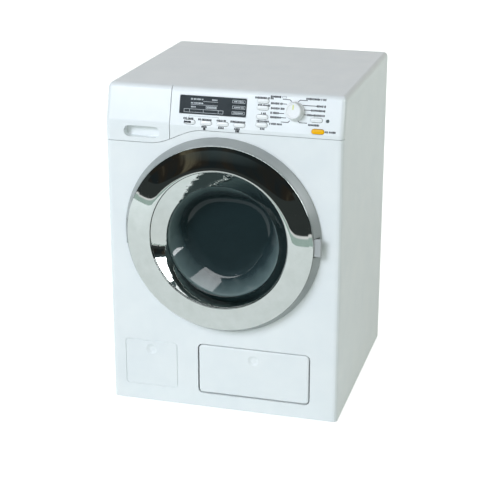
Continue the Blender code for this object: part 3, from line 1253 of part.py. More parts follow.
def pulley(name, place, radius, bore, hub, steps):
    """A grooved pulley; radius is that of its flanges."""
    front, back = -PULLEY_FRONT_DEPTH, -(PULLEY_FRONT_DEPTH + PULLEY_WIDTH)
    groove = radius - PULLEY_GROOVE
    profile = [(bore, front), (radius, front), (radius, front - PULLEY_FLANGE),
               (groove, front - PULLEY_FLANGE),
               (groove, back + PULLEY_FLANGE), (radius, back + PULLEY_FLANGE), (radius, back)]
    if hub:
        rim = groove - PULLEY_GROOVE
        web = front - PULLEY_WEB
        profile += [(rim, back), (rim, web), (hub, web), (hub, back)]
    profile.append((bore, back))
    return turned(name, profile, place, steps, FRONT_VIEW, nylon())


def make_motor():
    """Motor, its shaft and pulley, the bracket that stands on the base, and the belt."""
    place = (MOTOR_X, MOTOR_HEIGHT)
    plate_back = PULLEY_FRONT_DEPTH - BRACKET_TO_PULLEY
    plate_front = plate_back - BRACKET_THICKNESS
    can_back = plate_front - GAP
    bore = MOTOR_SHAFT_RADIUS + GAP
    can_front = can_back - MOTOR_LENGTH
    profile = [(0, -can_front), (MOTOR_RADIUS, -can_front), (MOTOR_RADIUS, -can_back),
               (MOTOR_BOSS_RADIUS, -can_back),
               (MOTOR_BOSS_RADIUS, -plate_back), (bore, -plate_back), (bore, -can_back + MOTOR_BORE_DEPTH),
               (0, -can_back + MOTOR_BORE_DEPTH)]
    turned("drive_motor", profile, place, 22, FRONT_VIEW, steel())
    shaft_back = PULLEY_FRONT_DEPTH + PULLEY_WIDTH + GAP
    rod("motor_shaft", place, MOTOR_SHAFT_RADIUS, -shaft_back, -(can_back - MOTOR_BORE_DEPTH + GAP),
        FRONT_VIEW, steel(), 14)
    pulley("motor_pulley", place, MOTOR_PULLEY_RADIUS, bore, 0, PULLEY_STEPS // 2)
    half = BRACKET_WIDTH / 2
    foot = BASE_TOP + GAP
    bracket = block("motor_bracket", (MOTOR_X - half, plate_front, foot),
                    (MOTOR_X + half, plate_back, MOTOR_HEIGHT + BRACKET_ABOVE_MOTOR), material=steel())
    add(bracket, block("bracket_foot", (MOTOR_X - half, plate_back - BRACKET_FOOT, foot),
                       (MOTOR_X + half, plate_back - BRACKET_THICKNESS / 2, foot + BRACKET_THICKNESS)))
    cut(bracket, rod("bracket_bore", place, MOTOR_BOSS_RADIUS + GAP, -(plate_back + OVERRUN),
                     -(plate_front - OVERRUN),
                     steps=20))
    make_belt(place)


def belt_outline(big, small, place, other):
    """The loop round two circles: an arc on each, with straight runs between."""
    across = Vector(other) - Vector(place)
    heading = math.atan2(across.y, across.x)
    spread = math.acos((big - small) / across.length)
    points = arc(place, big, heading + spread, heading + 2 * math.pi - spread, BELT_STEPS)
    points += arc(other, small, heading - spread, heading + spread, BELT_SMALL_STEPS)
    return points


def make_belt(motor_place):
    axis = (0, DOOR_AXIS_HEIGHT)
    big = PULLEY_RADIUS - PULLEY_GROOVE + GAP
    small = MOTOR_PULLEY_RADIUS - PULLEY_GROOVE + GAP
    front = -(PULLEY_FRONT_DEPTH + PULLEY_FLANGE + GAP)
    back = -(PULLEY_FRONT_DEPTH + PULLEY_WIDTH - PULLEY_FLANGE - GAP)
    inner = belt_outline(big / math.cos(math.pi / BELT_STEPS), small / math.cos(math.pi / BELT_STEPS), axis,
                         motor_place)
    outer = belt_outline(big + BELT_THICKNESS, small + BELT_THICKNESS, axis, motor_place)
    shape = bmesh.new()
    loops = [[shape.verts.new((x, y, z)) for x, y in line] for line, z in
             ((inner, front), (outer, front), (outer, back), (inner, back))]
    for k in range(len(inner)):
        after = (k + 1) % len(inner)
        for near, far in zip(loops, loops[1:] + loops[:1]):
            shape.faces.new((near[k], near[after], far[after], far[k]))
    return finish_mesh(shape, "drive_belt", FRONT_VIEW, rubber())


def battery_edges():
    """Left, right, front depth and back depth of the space for the cells."""
    half = CELL_LENGTH / 2 + CELL_CAP_LENGTH + 2 * GAP
    back = BATTERY_BOX_BACK_DEPTH - BATTERY_BOX_WALL
    return (BATTERY_MIDDLE_X - half, BATTERY_MIDDLE_X + half, back - CELL_PITCH * CELL_COUNT - GAP, back)


def make_base():
    """The base plate with moulded feet, closing the cabinet below, and the battery opening in it."""
    half = INNER_HALF_WIDTH - GAP
    front = WALL + GAP
    back = CABINET_DEPTH - COVER_INSET - WALL - GAP
    outline = rounded_rectangle((0, (front + back) / 2), 2 * half, back - front, EDGE_RADIUS, EDGE_STEPS)
    base = prism("base_plate", outline, CABINET_BOTTOM, BASE_TOP, PLAN_VIEW, white_plastic())
    feet = [rod(f"foot_{x:.3f}_{depth:.3f}", (x, depth), FOOT_RADIUS, 0, CABINET_BOTTOM + BASE_THICKNESS / 2,
                PLAN_VIEW, steps=20)
            for x in (-HALF_WIDTH + FOOT_INSET, HALF_WIDTH - FOOT_INSET)
            for depth in (FOOT_INSET, CABINET_DEPTH - FOOT_INSET)]
    add(base, joined("feet", feet))
    left, right, near, far = battery_edges()
    cut(base, block("battery_opening", (left, near, CABINET_BOTTOM - OVERRUN),
                    (right, far, BASE_TOP + OVERRUN)))
    left, right, near, far = tab_edges(0)
    cut(base, block("battery_tab_opening", (left - OVERRUN, near, CABINET_BOTTOM - OVERRUN),
                    (right, far, BASE_TOP + OVERRUN)))
    return base


def make_rear_cover():
    """The flat rear cover with vents and the speaker grille, held by a screw at each corner."""
    half = INNER_HALF_WIDTH - GAP
    back = CABINET_DEPTH - COVER_INSET
    top = CABINET_HEIGHT - WALL - GAP
    outline = rounded_rectangle((0, (CABINET_BOTTOM + top) / 2), 2 * half, top - CABINET_BOTTOM,
                                EDGE_RADIUS, EDGE_STEPS)
    cover = prism("rear_cover", outline, -back, -(back - WALL), material=white_plastic())
    slots = []
    for k in range(VENT_COUNT):
        middle = (0, VENT_LOWEST + k * VENT_PITCH)
        slots.append(prism(f"vent_{k}", rounded_rectangle(middle, VENT_WIDTH, VENT_HEIGHT, VENT_HEIGHT / 2,
                                                          2),
                           -(back + OVERRUN), -(back - WALL - OVERRUN)))
    for k in range(GRILLE_SLOT_COUNT):
        middle = (SPEAKER_X, SPEAKER_HEIGHT + (k - (GRILLE_SLOT_COUNT - 1) / 2) * GRILLE_SLOT_PITCH)
        slots.append(prism(f"grille_{k}", rounded_rectangle(middle, GRILLE_SLOT_LENGTH, GRILLE_SLOT_HEIGHT,
                                                            GRILLE_SLOT_HEIGHT / 2, 2),
                           -(back + OVERRUN), -(back - WALL - OVERRUN)))
    for k, place in enumerate(cover_screw_places()):
        slots.append(rod(f"cover_hole_{k}", place, SCREW_RADIUS + GAP, -(back + OVERRUN),
                         -(back - WALL - OVERRUN),
                         steps=12))
    cut(cover, joined("cover_openings", slots))
    return cover


def make_rear_screws(cover):
    """A screw in each corner of the rear cover, its head sunk in the cover."""
    back = CABINET_DEPTH - COVER_INSET
    sunk = -(back - SCREW_HEAD_THICKNESS - GAP / 2)
    sinks = []
    for k, place in enumerate(cover_screw_places()):
        screw(f"rear_cover_screw_{k + 1}", place, sunk, 1, SCREW_LENGTH, FRONT_VIEW)
        sinks.append(rod(f"cover_sink_{k}", place, SCREW_HEAD_RADIUS + GAP, -(back + OVERRUN), sunk + GAP,
                         steps=12))
    cut(cover, joined("cover_sinks", sinks))


def make_speaker():
    """The small loudspeaker behind the grille."""
    face = -(CABINET_DEPTH - COVER_INSET - WALL - GAP)
    rim = SPEAKER_RADIUS
    profile = [(0, face + SPEAKER_CONE_DEPTH), (rim / 2, face + SPEAKER_CONE_DEPTH * 2 / 3),
               (SPEAKER_CONE_RADIUS, face + GAP),
               (rim, face), (rim, face + WALL / 2), (rim / 2, face + SPEAKER_DEPTH),
               (0, face + SPEAKER_DEPTH)]
    return turned("speaker", profile, (SPEAKER_X, SPEAKER_HEIGHT), 22, FRONT_VIEW, dark_plastic())


def tab_edges(grow):
    """Left, right, front depth and back depth of the battery cover's screw tab, moved outwards by grow."""
    _, right, near, far = battery_edges()
    middle = (near + far) / 2
    return (right - grow, right + BATTERY_TAB_LENGTH + grow, middle - BATTERY_TAB_WIDTH / 2 - grow,
            middle + BATTERY_TAB_WIDTH / 2 + grow)


def make_battery_parts():
    """Battery box over the opening in the base, its cover and screw, and the cells."""
    left, right, near, far = battery_edges()
    wall = BATTERY_BOX_WALL
    seat = BASE_TOP + GAP
    roof = seat + 2 * CELL_RADIUS + 2 * GAP
    box = block("battery_box", (left - wall, near - wall, seat), (right + wall, far + wall, roof + wall),
                material=dark_plastic())
    tab_left, tab_right, tab_near, tab_far = tab_edges(0)
    boss_top = seat + SCREW_LENGTH + wall
    add(box, block("battery_boss", (tab_left + wall / 2, tab_near, seat), (tab_right, tab_far, boss_top)))
    cut(box, block("battery_space", (left, near, seat - OVERRUN), (right, far, roof)))
    place = ((tab_left + wall + tab_right) / 2, (tab_near + tab_far) / 2)
    cut(box, rod("battery_pilot", place, SCREW_RADIUS + GAP, seat - OVERRUN, seat + SCREW_LENGTH, PLAN_VIEW,
                 steps=12))
    cover = block("battery_cover", (left + GAP, near + GAP, CABINET_BOTTOM),
                  (right - GAP, far - GAP, BASE_TOP),
                  material=white_plastic())
    add(cover, block("cover_tab", (tab_left - OVERRUN, tab_near + GAP, CABINET_BOTTOM),
                     (tab_right - GAP, tab_far - GAP, BASE_TOP)))
    sink = CABINET_BOTTOM + SCREW_HEAD_THICKNESS + GAP / 2
    profile = [(0, CABINET_BOTTOM - OVERRUN), (SCREW_HEAD_RADIUS + GAP, CABINET_BOTTOM - OVERRUN),
               (SCREW_HEAD_RADIUS + GAP, sink + GAP), (SCREW_RADIUS + GAP, sink + GAP),
               (SCREW_RADIUS + GAP, BASE_TOP + OVERRUN), (0, BASE_TOP + OVERRUN)]
    cut(cover, turned("cover_screw_hole", profile, place, 12, PLAN_VIEW))
    screw("battery_cover_screw", place, sink, 1, SCREW_LENGTH, PLAN_VIEW)
    for k in range(CELL_COUNT):
        depth = near + CELL_PITCH * (k + 0.5)
        turn = 1 if k % 2 else -1
        tail = BATTERY_MIDDLE_X - turn * CELL_LENGTH / 2
        head = BATTERY_MIDDLE_X + turn * CELL_LENGTH / 2
        cap = head + turn * CELL_CAP_LENGTH
        profile = [(0, tail), (CELL_RADIUS, tail), (CELL_RADIUS, head), (CELL_CAP_RADIUS, head),
                   (CELL_CAP_RADIUS, cap), (0, cap)]
        turned(f"battery_cell_{k + 1}", profile, (depth, seat + CELL_RADIUS), CELL_SIDES, SIDE_VIEW,
               cell_sleeve())


def smooth_route(points, runs):
    """Points of a Catmull-Rom curve through the route's own points, with so many to each run."""
    ends = [2 * points[0] - points[1], *points, 2 * points[-1] - points[-2]]
    made = []
    for k in range(1, len(ends) - 2):
        before, start, end, after = ends[k - 1:k + 3]
        for step in range(runs):
            t = step / runs
            made.append(start + t / 2 * (end - before)
                        + t * t / 2 * (2 * before - 5 * start + 4 * end - after)
                        + t * t * t / 2 * (3 * start - before - 3 * end + after))
    made.append(points[-1])
    return made


def make_loom():
    """The wiring loom: out of the battery box, up the right side and over to the back of the board."""
    _, right, near, far = battery_edges()
    roof = BASE_TOP + 3 * GAP + 2 * CELL_RADIUS + BATTERY_BOX_WALL
    rise = CELL_RADIUS
    side = INNER_HALF_WIDTH - rise
    box_x, box_depth = right - rise, (near + far) / 2
    past_drive = far - rise
    board_x = (KNOB_X + START_BUTTON_X) / 2
    behind = board_front() + BOARD_THICKNESS + GAP
    board_slope = (BOARD_LOW_SLOPE + BOARD_HIGH_SLOPE) / 2
    plan = [(box_x, box_depth, roof + GAP), (box_x, box_depth, roof + rise / 2),
            (box_x, box_depth, roof + rise),
            ((box_x + side) / 2, past_drive, roof + 3 * rise), (side, past_drive, MOTOR_HEIGHT),
            (side, box_depth, DOOR_AXIS_HEIGHT), (side, TUB_BACK_DEPTH, SEAM_LOW),
            (side - rise, TUB_BACK_DEPTH / 2, KINK_HEIGHT)]
    points = [PLAN_VIEW @ Vector(point) for point in plan]
    points += [FASCIA_VIEW @ Vector((board_x, board_slope, -(behind + rise))),
               FASCIA_VIEW @ Vector((board_x, board_slope, -behind))]
    route = smooth_route(points, LOOM_POINTS_PER_RUN)
    curve = bpy.data.curves.new("wiring_loom", "CURVE")
    curve.dimensions = "3D"
    curve.bevel_depth = LOOM_RADIUS
    curve.bevel_resolution = 1
    curve.use_fill_caps = True
    spline = curve.splines.new("POLY")
    spline.points.add(len(route) - 1)
    for item, place in zip(spline.points, route):
        item.co = (*place, 1.0)
    curve.materials.append(rubber())
    loom = bpy.data.objects.new("wiring_loom", curve)
    bpy.context.scene.collection.objects.link(loom)
    return loom


def place_on_axis(name, location, direction, pieces):
    """An empty on a joint's axis, its z along the axis, that carries the pieces of one moving body."""
    holder = bpy.data.objects.new(name, None)
    bpy.context.scene.collection.objects.link(holder)
    holder.empty_display_size = WALL
    holder.rotation_mode = "QUATERNION"
    holder.rotation_quaternion = Vector(direction).to_track_quat("Z", "Y")
    holder.location = location
    bpy.context.view_layer.update()
    for piece in pieces:
        item = bpy.data.objects[piece]
        item.parent = holder
        item.matrix_parent_inverse = holder.matrix_world.inverted()


def place_joints():
    """Parents each moving body's pieces to an empty on its joint's axis."""
    place_on_axis("door_hinge_axis", FRONT_VIEW @ Vector((HINGE_X, DOOR_AXIS_HEIGHT, HINGE_PROUD)),
                  (0, 0, -1),
                  ["door_back_frame", "door_chrome_ring", "door_inner_ring", "door_window", "door_pull_tab"])
    drum = ["drum", "drum_shaft", "drum_pulley", "shaft_clip"]
    place_on_axis("drum_axis", FRONT_VIEW @ Vector((0, DOOR_AXIS_HEIGHT, -DRUM_BACK_DEPTH)), (0, 1, 0), drum)
    place_on_axis("motor_axis", FRONT_VIEW @ Vector((MOTOR_X, MOTOR_HEIGHT, -PULLEY_FRONT_DEPTH)), (0, 1, 0),
                  ["motor_pulley", "motor_shaft"])
    out = FASCIA_VIEW.to_3x3() @ Vector((0, 0, 1))
    place_on_axis("knob_axis", FASCIA_VIEW @ Vector((KNOB_X, KNOB_SLOPE, 0)), out, ["selector_knob"])
    place_on_axis("drawer_slide", PLAN_VIEW @ Vector((DRAWER_EDGE_X - DRAWER_FRONT_WIDTH / 2, 0,
                                                      KINK_HEIGHT)),
                  (0, -1, 0), ["detergent_drawer"])
    place_on_axis("flap_hinge_axis", SIDE_VIEW @ Vector((FLAP_HINGE_DEPTH, flap_hinge_height(),
                                                         FLAP_MIDDLE_X)),
                  (1, 0, 0), ["service_flap"])
    for name, place, *_ in buttons():
        place_on_axis(name + "_slide", FASCIA_VIEW @ Vector((*place, 0)), -out, [name])


def main():
    clear_scene()
    make_cabinet_shell()
    make_front_panel()
    make_control_fascia()
    make_drawer()
    make_drawer_housing()
    make_flap()
    make_compartment()
    make_door_surround()
    make_chrome_ring()
    make_inner_ring()
    make_window()
    make_back_frame()
    make_pull_tab()
    make_catch()
    make_tub()
    make_drum()
    make_drum_shaft()
    make_motor()
    make_base()
    make_rear_screws(make_rear_cover())
    make_speaker()
    make_battery_parts()
    make_buttons()
    make_controls()
    make_loom()
    place_joints()


main()
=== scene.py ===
import math

import bmesh
import bpy
import numpy as np
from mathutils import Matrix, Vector
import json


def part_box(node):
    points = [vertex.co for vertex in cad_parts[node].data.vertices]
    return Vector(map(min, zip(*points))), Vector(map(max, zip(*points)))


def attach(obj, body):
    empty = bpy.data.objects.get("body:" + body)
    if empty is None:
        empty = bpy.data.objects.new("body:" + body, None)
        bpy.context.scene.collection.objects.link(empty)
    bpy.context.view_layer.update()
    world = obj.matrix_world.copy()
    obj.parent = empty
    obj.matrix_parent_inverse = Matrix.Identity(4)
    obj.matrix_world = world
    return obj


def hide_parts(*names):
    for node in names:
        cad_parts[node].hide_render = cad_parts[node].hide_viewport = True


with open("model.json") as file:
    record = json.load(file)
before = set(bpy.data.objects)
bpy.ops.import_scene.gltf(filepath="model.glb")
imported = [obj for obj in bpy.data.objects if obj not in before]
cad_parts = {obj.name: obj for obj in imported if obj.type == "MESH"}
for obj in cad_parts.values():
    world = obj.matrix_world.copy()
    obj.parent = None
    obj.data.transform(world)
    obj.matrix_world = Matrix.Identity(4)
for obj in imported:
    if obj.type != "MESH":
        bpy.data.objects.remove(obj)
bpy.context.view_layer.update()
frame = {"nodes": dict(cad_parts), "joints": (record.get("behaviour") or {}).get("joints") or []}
JOINTS = {joint["name"]: joint for joint in frame["joints"]}
MM = 0.001


def middle(node, axis):
    """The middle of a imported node's box along x, y or z."""
    lowest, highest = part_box(node)
    return (lowest["xyz".index(axis)] + highest["xyz".index(axis)]) / 2


# Main places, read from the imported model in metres. Proud is measured out of the front plane
FRONT_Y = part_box("front_panel")[0].y
DOOR_HEIGHT = middle("door_surround", "z")
SURROUND_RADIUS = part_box("door_surround")[1].x
CHROME_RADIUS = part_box("door_chrome_ring")[1].x
CREST_PROUD = FRONT_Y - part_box("door_chrome_ring")[0].y
CHROME_BACK_PROUD = FRONT_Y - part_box("door_chrome_ring")[1].y
FUNNEL_PROUD = FRONT_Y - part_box("door_inner_ring")[0].y
FUNNEL_LIP_PROUD = FRONT_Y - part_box("door_inner_ring")[1].y
FUNNEL_FLANGE_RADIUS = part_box("door_inner_ring")[1].x
BOWL_HEIGHT = middle("door_window", "z")
BOWL_FLANGE_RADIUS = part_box("door_window")[1].x
BOWL_PROUD = FRONT_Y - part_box("door_window")[0].y
BOWL_BACK_PROUD = FRONT_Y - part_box("door_window")[1].y
HINGE_X = middle("door_hinge_pin", "x")
HINGE_PROUD = FRONT_Y - middle("door_hinge_pin", "y")
PANEL_OUT = Vector(JOINTS["knob_turn"]["axis"])
KINK_DROP = 0.0278
KINK_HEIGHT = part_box("cabinet_shell")[1].z - KINK_DROP

# Sizes of the door's rings
SURROUND_BORE = 0.0603
SURROUND_BACK = 0.0003
SURROUND_FOOT = 0.0012
SURROUND_FLOOR = 0.0023
SURROUND_RIM = 0.0083
SURROUND_CONE_WIDTH = 0.0039
SURROUND_RIM_WALL = 0.0015
CREST_RADIUS = 0.0554
CREST_INNER_RADIUS = 0.0545
CREST_LIP_PROUD = 0.0106
SHOULDER_WIDTH = 0.0016
SHOULDER_PROUD = 0.0099
SHOULDER_STEP = 0.00014
CHROME_WALL = 0.0018
CROWN_SHARE = 0.20
CHROME_STEPS = 28
CHROME_LIP_AT = 3
FUNNEL_TOP_RADIUS = 0.0542
FUNNEL_FOOT_RADIUS = 0.0445
FUNNEL_LIP_DEPTH = 0.0025
FUNNEL_WALL = 0.0018
FUNNEL_FLANGE = 0.0014
FUNNEL_FLANGE_BACK = 0.0082
FUNNEL_NECK_RADIUS = 0.05465
BOWL_RADIUS = 0.0455
BOWL_WALL = 0.0016
BOWL_FLOOR_RISE = 0.975
BOWL_FLOOR_STEPS = 14
BOWL_FLOOR_EASE = 1.3
BOWL_FLOOR_SHARE = 0.71
BOWL_EGG_SHARE = 0.075
BOWL_SQUASH_SHARE = 0.95
BOWL_RAISE = 0.0008
BOWL_LEAN = 0.105
BOWL_SHALLOW = 0.0032
# Depths behind the bowl's front over which its colour is painted: paler at the rim as painted light, and near
# black towards the floor as painted shade
BOWL_RIM_PAINTED_LIGHT_DEPTH = 0.012
BOWL_FLOOR_PAINTED_SHADE_DEPTHS = (0.010, 0.018)
CHANNEL_INNER = 0.0579
CHANNEL_OUTER = 0.0716
CHANNEL_WALL = 0.0022
CHANNEL_BACK = 0.0030
CHANNEL_FLOOR = 0.0052
CHANNEL_RIM = 0.0081
CHANNEL_INNER_RIM = 0.0079
HINGE_BARREL_RADIUS = 0.0016
HINGE_BORE_RADIUS = 0.0010
HINGE_BARREL_HALF = 0.0052
HINGE_LUG_START = 0.0055
HINGE_LUG_END = 0.0095
HINGE_NOTCH_HALF = 0.0055
HINGE_NOTCH_REACH = 0.0041
HINGE_NOTCH_PROUD = 0.0044
HINGE_ARM_HALF = 0.0049
HINGE_ARM_BACK = 0.0052
HINGE_ARM_FRONT = 0.0078
HINGE_ARM_REACH = 0.0705
TAB_NOTCH_X = 0.0698
TAB_NOTCH_HALF = 0.0075
TAB_NOTCH_PROUD = 0.0025
TAB_SEAT_X = 0.0695
TAB_SEAT_HALF = 0.0073
TAB_SEAT_PROUD = 0.0049
HOOK_START = 0.0660
HOOK_END = 0.0690
HOOK_HALF = 0.0030
HOOK_TIP_PROUD = -0.0045
HOOK_ROOT_PROUD = 0.0041
HOOK_CLEARANCE = 0.0005
OVERRUN = 0.002
RING_STEPS = 256
SMALL_RING_STEPS = 128
ROD_STEPS = 48

# Sizes of the drum, the controls and the small parts
DRUM_MOUTH_RADIUS = 0.052
DRUM_WALL = 0.0012
DRUM_BOSS_LENGTH = 0.006
DRUM_BOSS_RADIUS = 0.009
DRUM_BORE_RADIUS = 0.0033
DRUM_HOLE_RADIUS = 0.0022
DRUM_HOLE_FIRST_DEPTH = 0.031
DRUM_HOLE_PITCH = 0.024
DRUM_HOLE_ROWS = 3
DRUM_HOLES_PER_ROW = 8
DRUM_HOLE_STEPS = 24
RIB_DEPTHS = (0.028, 0.088)
RIB_BASE_WIDTH = 0.014
RIB_TOP_WIDTH = 0.005
RIB_HEIGHT = 0.011
RIB_END_ROUND = 0.009
RIB_END_STEPS = 10
RIB_END_NARROWING = 0.45
KNOB_STEM_RADIUS = 0.0024
KNOB_STEM_LENGTH = 0.0065
KNOB_BASE_RADIUS = 0.0072
KNOB_SKIRT = 0.0014
KNOB_SKIRT_SLOPE = 0.0006
KNOB_GRIP_RADIUS = 0.0067
KNOB_FACE_RADIUS = 0.0058
KNOB_FACE = 0.0073
KNOB_DISH = 0.0004
KNOB_LIP = (0.0010, 0.0014)
KNOB_LIFT = 0.0003
CELL_BAND = (-0.0375, -0.0365)
BUTTON_ROUND = 0.0008
BUTTON_WALL_SHARE = 0.45
BUTTON_CROWN_SHARE = 0.3
PILL_STEPS = 20
BUTTON_STEPS = 8
BUTTON_FLANGE = 0.0011
BUTTON_WING = (0.0002, 0.0012)
BUTTON_WING_INSET = 0.0004
BUTTON_TOP_HALF = 0.0002
BUTTON_FOOT = -0.0001
SCREW_HEAD_RADIUS = 0.0025
SCREW_HEAD_HEIGHT = 0.0009
SCREW_SHANK_RADIUS = 0.0012
SCREW_RECESS_DEPTH = 0.0006
SCREW_DOME_SHARE = 0.45
SCREW_DOME_FLATNESS = 0.9
SCREW_SLOT_HALF_SHARE = 0.12
SCREW_SLOT_REACH_SHARE = 0.58
SCREW_RINGS = 26
SCREW_SPOKES = 96
BLOCK_WIDTHS = (0.0005, 0.0010)
BLOCK_GAP = 0.0002
WORD_GAP = 0.0007
WORD_GAP_SHARE = 0.10
MOST_BLOCKS = 60
LEAST_BLOCK_SHARE = 0.75
PRINT_LIFT = 0.00004
POINTER_REACH = (0.0012, 0.0042)
POINTER_WIDTH = 0.0008
LINE_WIDTH = 0.00050
FINE_LINE_WIDTH = 0.00026

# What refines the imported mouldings, with its angles in degrees
KINK_ROUND = 0.0022
KINK_BAND = 0.0004
KINK_DEPTH = 0.005
KINK_ANGLES = (6, 25)
KINK_LEAST_LENGTH = 0.0002
SAME_PLACE = 2e-6
FLAT_ANGLE = 0.7
SHARP_ANGLE = 32.0
DIMPLE_ANGLE = 14.0


# Colours and nodes
def linear(code):
    """An sRGB hex colour as linear red, green, blue and alpha."""
    parts = np.array([int(code[k:k + 2], 16) / 255 for k in (1, 3, 5)])
    low, high = parts / 12.92, ((parts + 0.055) / 1.055) ** 2.4
    return tuple(np.where(parts <= 0.04045, low, high)) + (1.0,)


def add(tree, kind, inputs=None, **settings):
    """A node with its settings. Each input takes a value, another node's socket, or its first output."""
    node = tree.nodes.new("ShaderNode" + kind)
    for key, value in settings.items():
        setattr(node, key, value)
    for key, value in (inputs or {}).items():
        if isinstance(value, bpy.types.Node):
            value = value.outputs[0]
        if isinstance(value, bpy.types.NodeSocket):
            tree.links.new(value, node.inputs[key])
        else:
            node.inputs[key].default_value = value
    return node


def drive(shader, socket, source):
    """Feeds a node's socket into one of the shader's own."""
    shader.id_data.links.new(source, shader.inputs[socket])


def along(tree, axis):
    """Object coordinates along X, Y or Z, in metres."""
    return add(tree, "SeparateXYZ", {"Vector": add(tree, "TexCoord").outputs["Object"]}).outputs[axis]


def sized(tree, millimetres):
    """The inputs of a pattern on Object coordinates whose features have this size."""
    return {"Vector": add(tree, "TexCoord").outputs["Object"], "Scale": 1000.0 / millimetres}


def finish(name, colour, roughness, **sockets):
    """A material whose even values sit on the shader's own sockets, with its tree and its shader."""
    material = bpy.data.materials.new(name)
    material.use_nodes = True
    tree = material.node_tree
    shader = tree.nodes["Principled BSDF"]
    shader.inputs["Base Color"].default_value = linear(colour)
    shader.inputs["Roughness"].default_value = roughness
    for key, value in sockets.items():
        shader.inputs[key.replace("_", " ")].default_value = value
    return material, tree, shader


def clouds(tree, size, detail=3.0, stretch=(1.0, 1.0, 1.0)):
    """Noise with features of this size in millimetres, pulled out along an axis by stretch."""
    inputs = {**sized(tree, size), "Detail": detail, "Roughness": 0.55}
    inputs["Vector"] = add(tree, "Mapping", {"Vector": inputs["Vector"], "Scale": stretch}).outputs["Vector"]
    return add(tree, "TexNoise", inputs).outputs[0]


def between(tree, share, first, second):
    """Blends two colours by a share. Each is an sRGB hex code or another blend."""
    inputs = {0: share}
    for socket, colour in ((6, first), (7, second)):
        inputs[socket] = linear(colour) if isinstance(colour, str) else colour
    return add(tree, "Mix", inputs, data_type="RGBA").outputs[2]


def spread(tree, share, low, high, start=0.3, end=0.7):
    """Maps a pattern's range from start to end onto a range of values."""
    inputs = {"Value": share, "From Min": start, "From Max": end, "To Min": low, "To Max": high}
    return add(tree, "MapRange", inputs).outputs["Result"]


def raised(tree, height, millimetres):
    """A bump whose full height is given in millimetres."""
    return add(tree, "Bump", {"Height": height, "Distance": millimetres * MM}).outputs["Normal"]


def colour_by(tree, shader, share, first, second, start=0.3, end=0.7):
    """Drives the base colour from one hex colour to another by a pattern."""
    drive(shader, "Base Color", between(tree, spread(tree, share, 0.0, 1.0, start, end), first, second))


def clouded(name, colour, roughness, colours, pattern, sheen=None, relief=None, **sockets):
    """A material from patterns of clouds, each given as clouds takes it. The first blends the colours, the
    sheen's follows its lowest and highest roughness, and the relief's follows its height in millimetres."""
    material, tree, shader = finish(name, colour, roughness, **sockets)
    colour_by(tree, shader, clouds(tree, *pattern), *colours)
    if sheen:
        drive(shader, "Roughness", spread(tree, clouds(tree, *sheen[2:]), *sheen[:2]))
    if relief:
        drive(shader, "Normal", raised(tree, clouds(tree, *relief[1:]), relief[0]))
    return material


def moulded(name, colour, shade, gloss, peel_size, peel_height, **sockets):
    """Moulded plastic: slow drift of colour from the melt's flow, uneven gloss, and a faint orange peel."""
    return clouded(name, colour, gloss, (colour, shade), (24.0, 2.0), (gloss - 0.03, gloss + 0.03, 6.0),
                   (peel_height, peel_size, 2.0), IOR=1.53, **sockets)


def chrome_plating(name, ripple_size, ripple_height):
    """Decorative chrome on ABS: a neutral mirror, faintly hazed, with a ripple from the moulding below."""
    return clouded(name, "#C9CCCB", 0.03, ("#C8CCCA", "#C0C5C2"), (9.0, 4.0), (0.015, 0.04, 3.0, 4.0),
                   (ripple_height, ripple_size, 2.0), Metallic=1.0)


def printing_ink(name, colour, thin):
    """Pad-printed ink: matt, and thinner in tiny specks where the pad lifted."""
    return clouded(name, colour, 0.55, (colour, thin, 0.35, 0.75), (0.25, 2.0), IOR=1.48)


# Finishes
# Gloss white ABS from a polished mould: milky, with a soft sheen and a trace of orange peel
white_abs = moulded("white_moulded_abs", "#F0F3F2", "#EBEFEF", 0.32, 5.0, 0.004)
# The same resin tinted grey for the fixed ring: silky, with a slow change of shade
grey_abs = moulded("grey_moulded_abs", "#A0A5A3", "#989D9C", 0.32, 4.0, 0.004)
# Paler grey ABS of the pull tab: satin
tab_abs = moulded("pale_grey_moulded_abs", "#B0B3B2", "#A8ABAA", 0.38, 3.0, 0.003)
# Pale general-purpose ABS of the inner boxes from a spark-eroded mould: matt and finely grained
inner_abs = moulded("spark_grained_abs", "#D3D6D8", "#C6CACD", 0.52, 0.8, 0.012)
# Black ABS of the hidden door frame and the switch: fine matt grain
dark_abs = moulded("black_grained_abs", "#26292B", "#1D2022", 0.48, 0.8, 0.012)
# Signal yellow ABS of the power button: a strong even colour with a soft sheen
yellow_abs = moulded("yellow_moulded_abs", "#FFC600", "#F7B600", 0.34, 2.0, 0.003, Specular_IOR_Level=0.15)
# Tinted lens of the indicator lamp, unlit: mid grey and glossy
lamp_lens = moulded("tinted_lamp_lens", "#6C7577", "#626B6D", 0.15, 2.0, 0.002)
# White ABS of the knob and the buttons: a touch glossier than the cabinet
key_abs = moulded("key_moulded_abs", "#F2F3F1", "#EBEDEC", 0.26, 2.0, 0.003)
# Acrylic window printed black from behind: charcoal under a clear gloss face
display_face = clouded("back_printed_acrylic", "#33393B", 0.12, ("#363C3F", "#2F3538"), (12.0,),
                       (0.09, 0.18, 2.0), IOR=1.49)
# Unfilled nylon: waxy off-white, with light passing a little way into its edges
nylon = clouded("natural_nylon", "#E6E1D2", 0.42, ("#E9E4D6", "#DCD6C4"), (5.0,), None, (0.006, 0.8),
                IOR=1.53, Subsurface_Weight=0.15, Subsurface_Radius=(0.001, 0.0008, 0.0006))
# Silicone rubber of the button mat and the belt: dead matt with a dusty bloom
rubber = clouded("silicone_rubber", "#2A2B2C", 0.78, ("#2A2B2C", "#3A3B3C"), (3.0, 5.0), IOR=1.42)
# Zinc-plated steel: bluish and bright, with fine lines drawn out along the metal
drawn = (0.5, 3.0, (1.0, 0.12, 1.0))
steel = clouded("zinc_plated_steel", "#B9BDC2", 0.26, ("#C3C7CB", "#A9AEB4"), drawn, (0.18, 0.36, *drawn),
                Metallic=1.0)
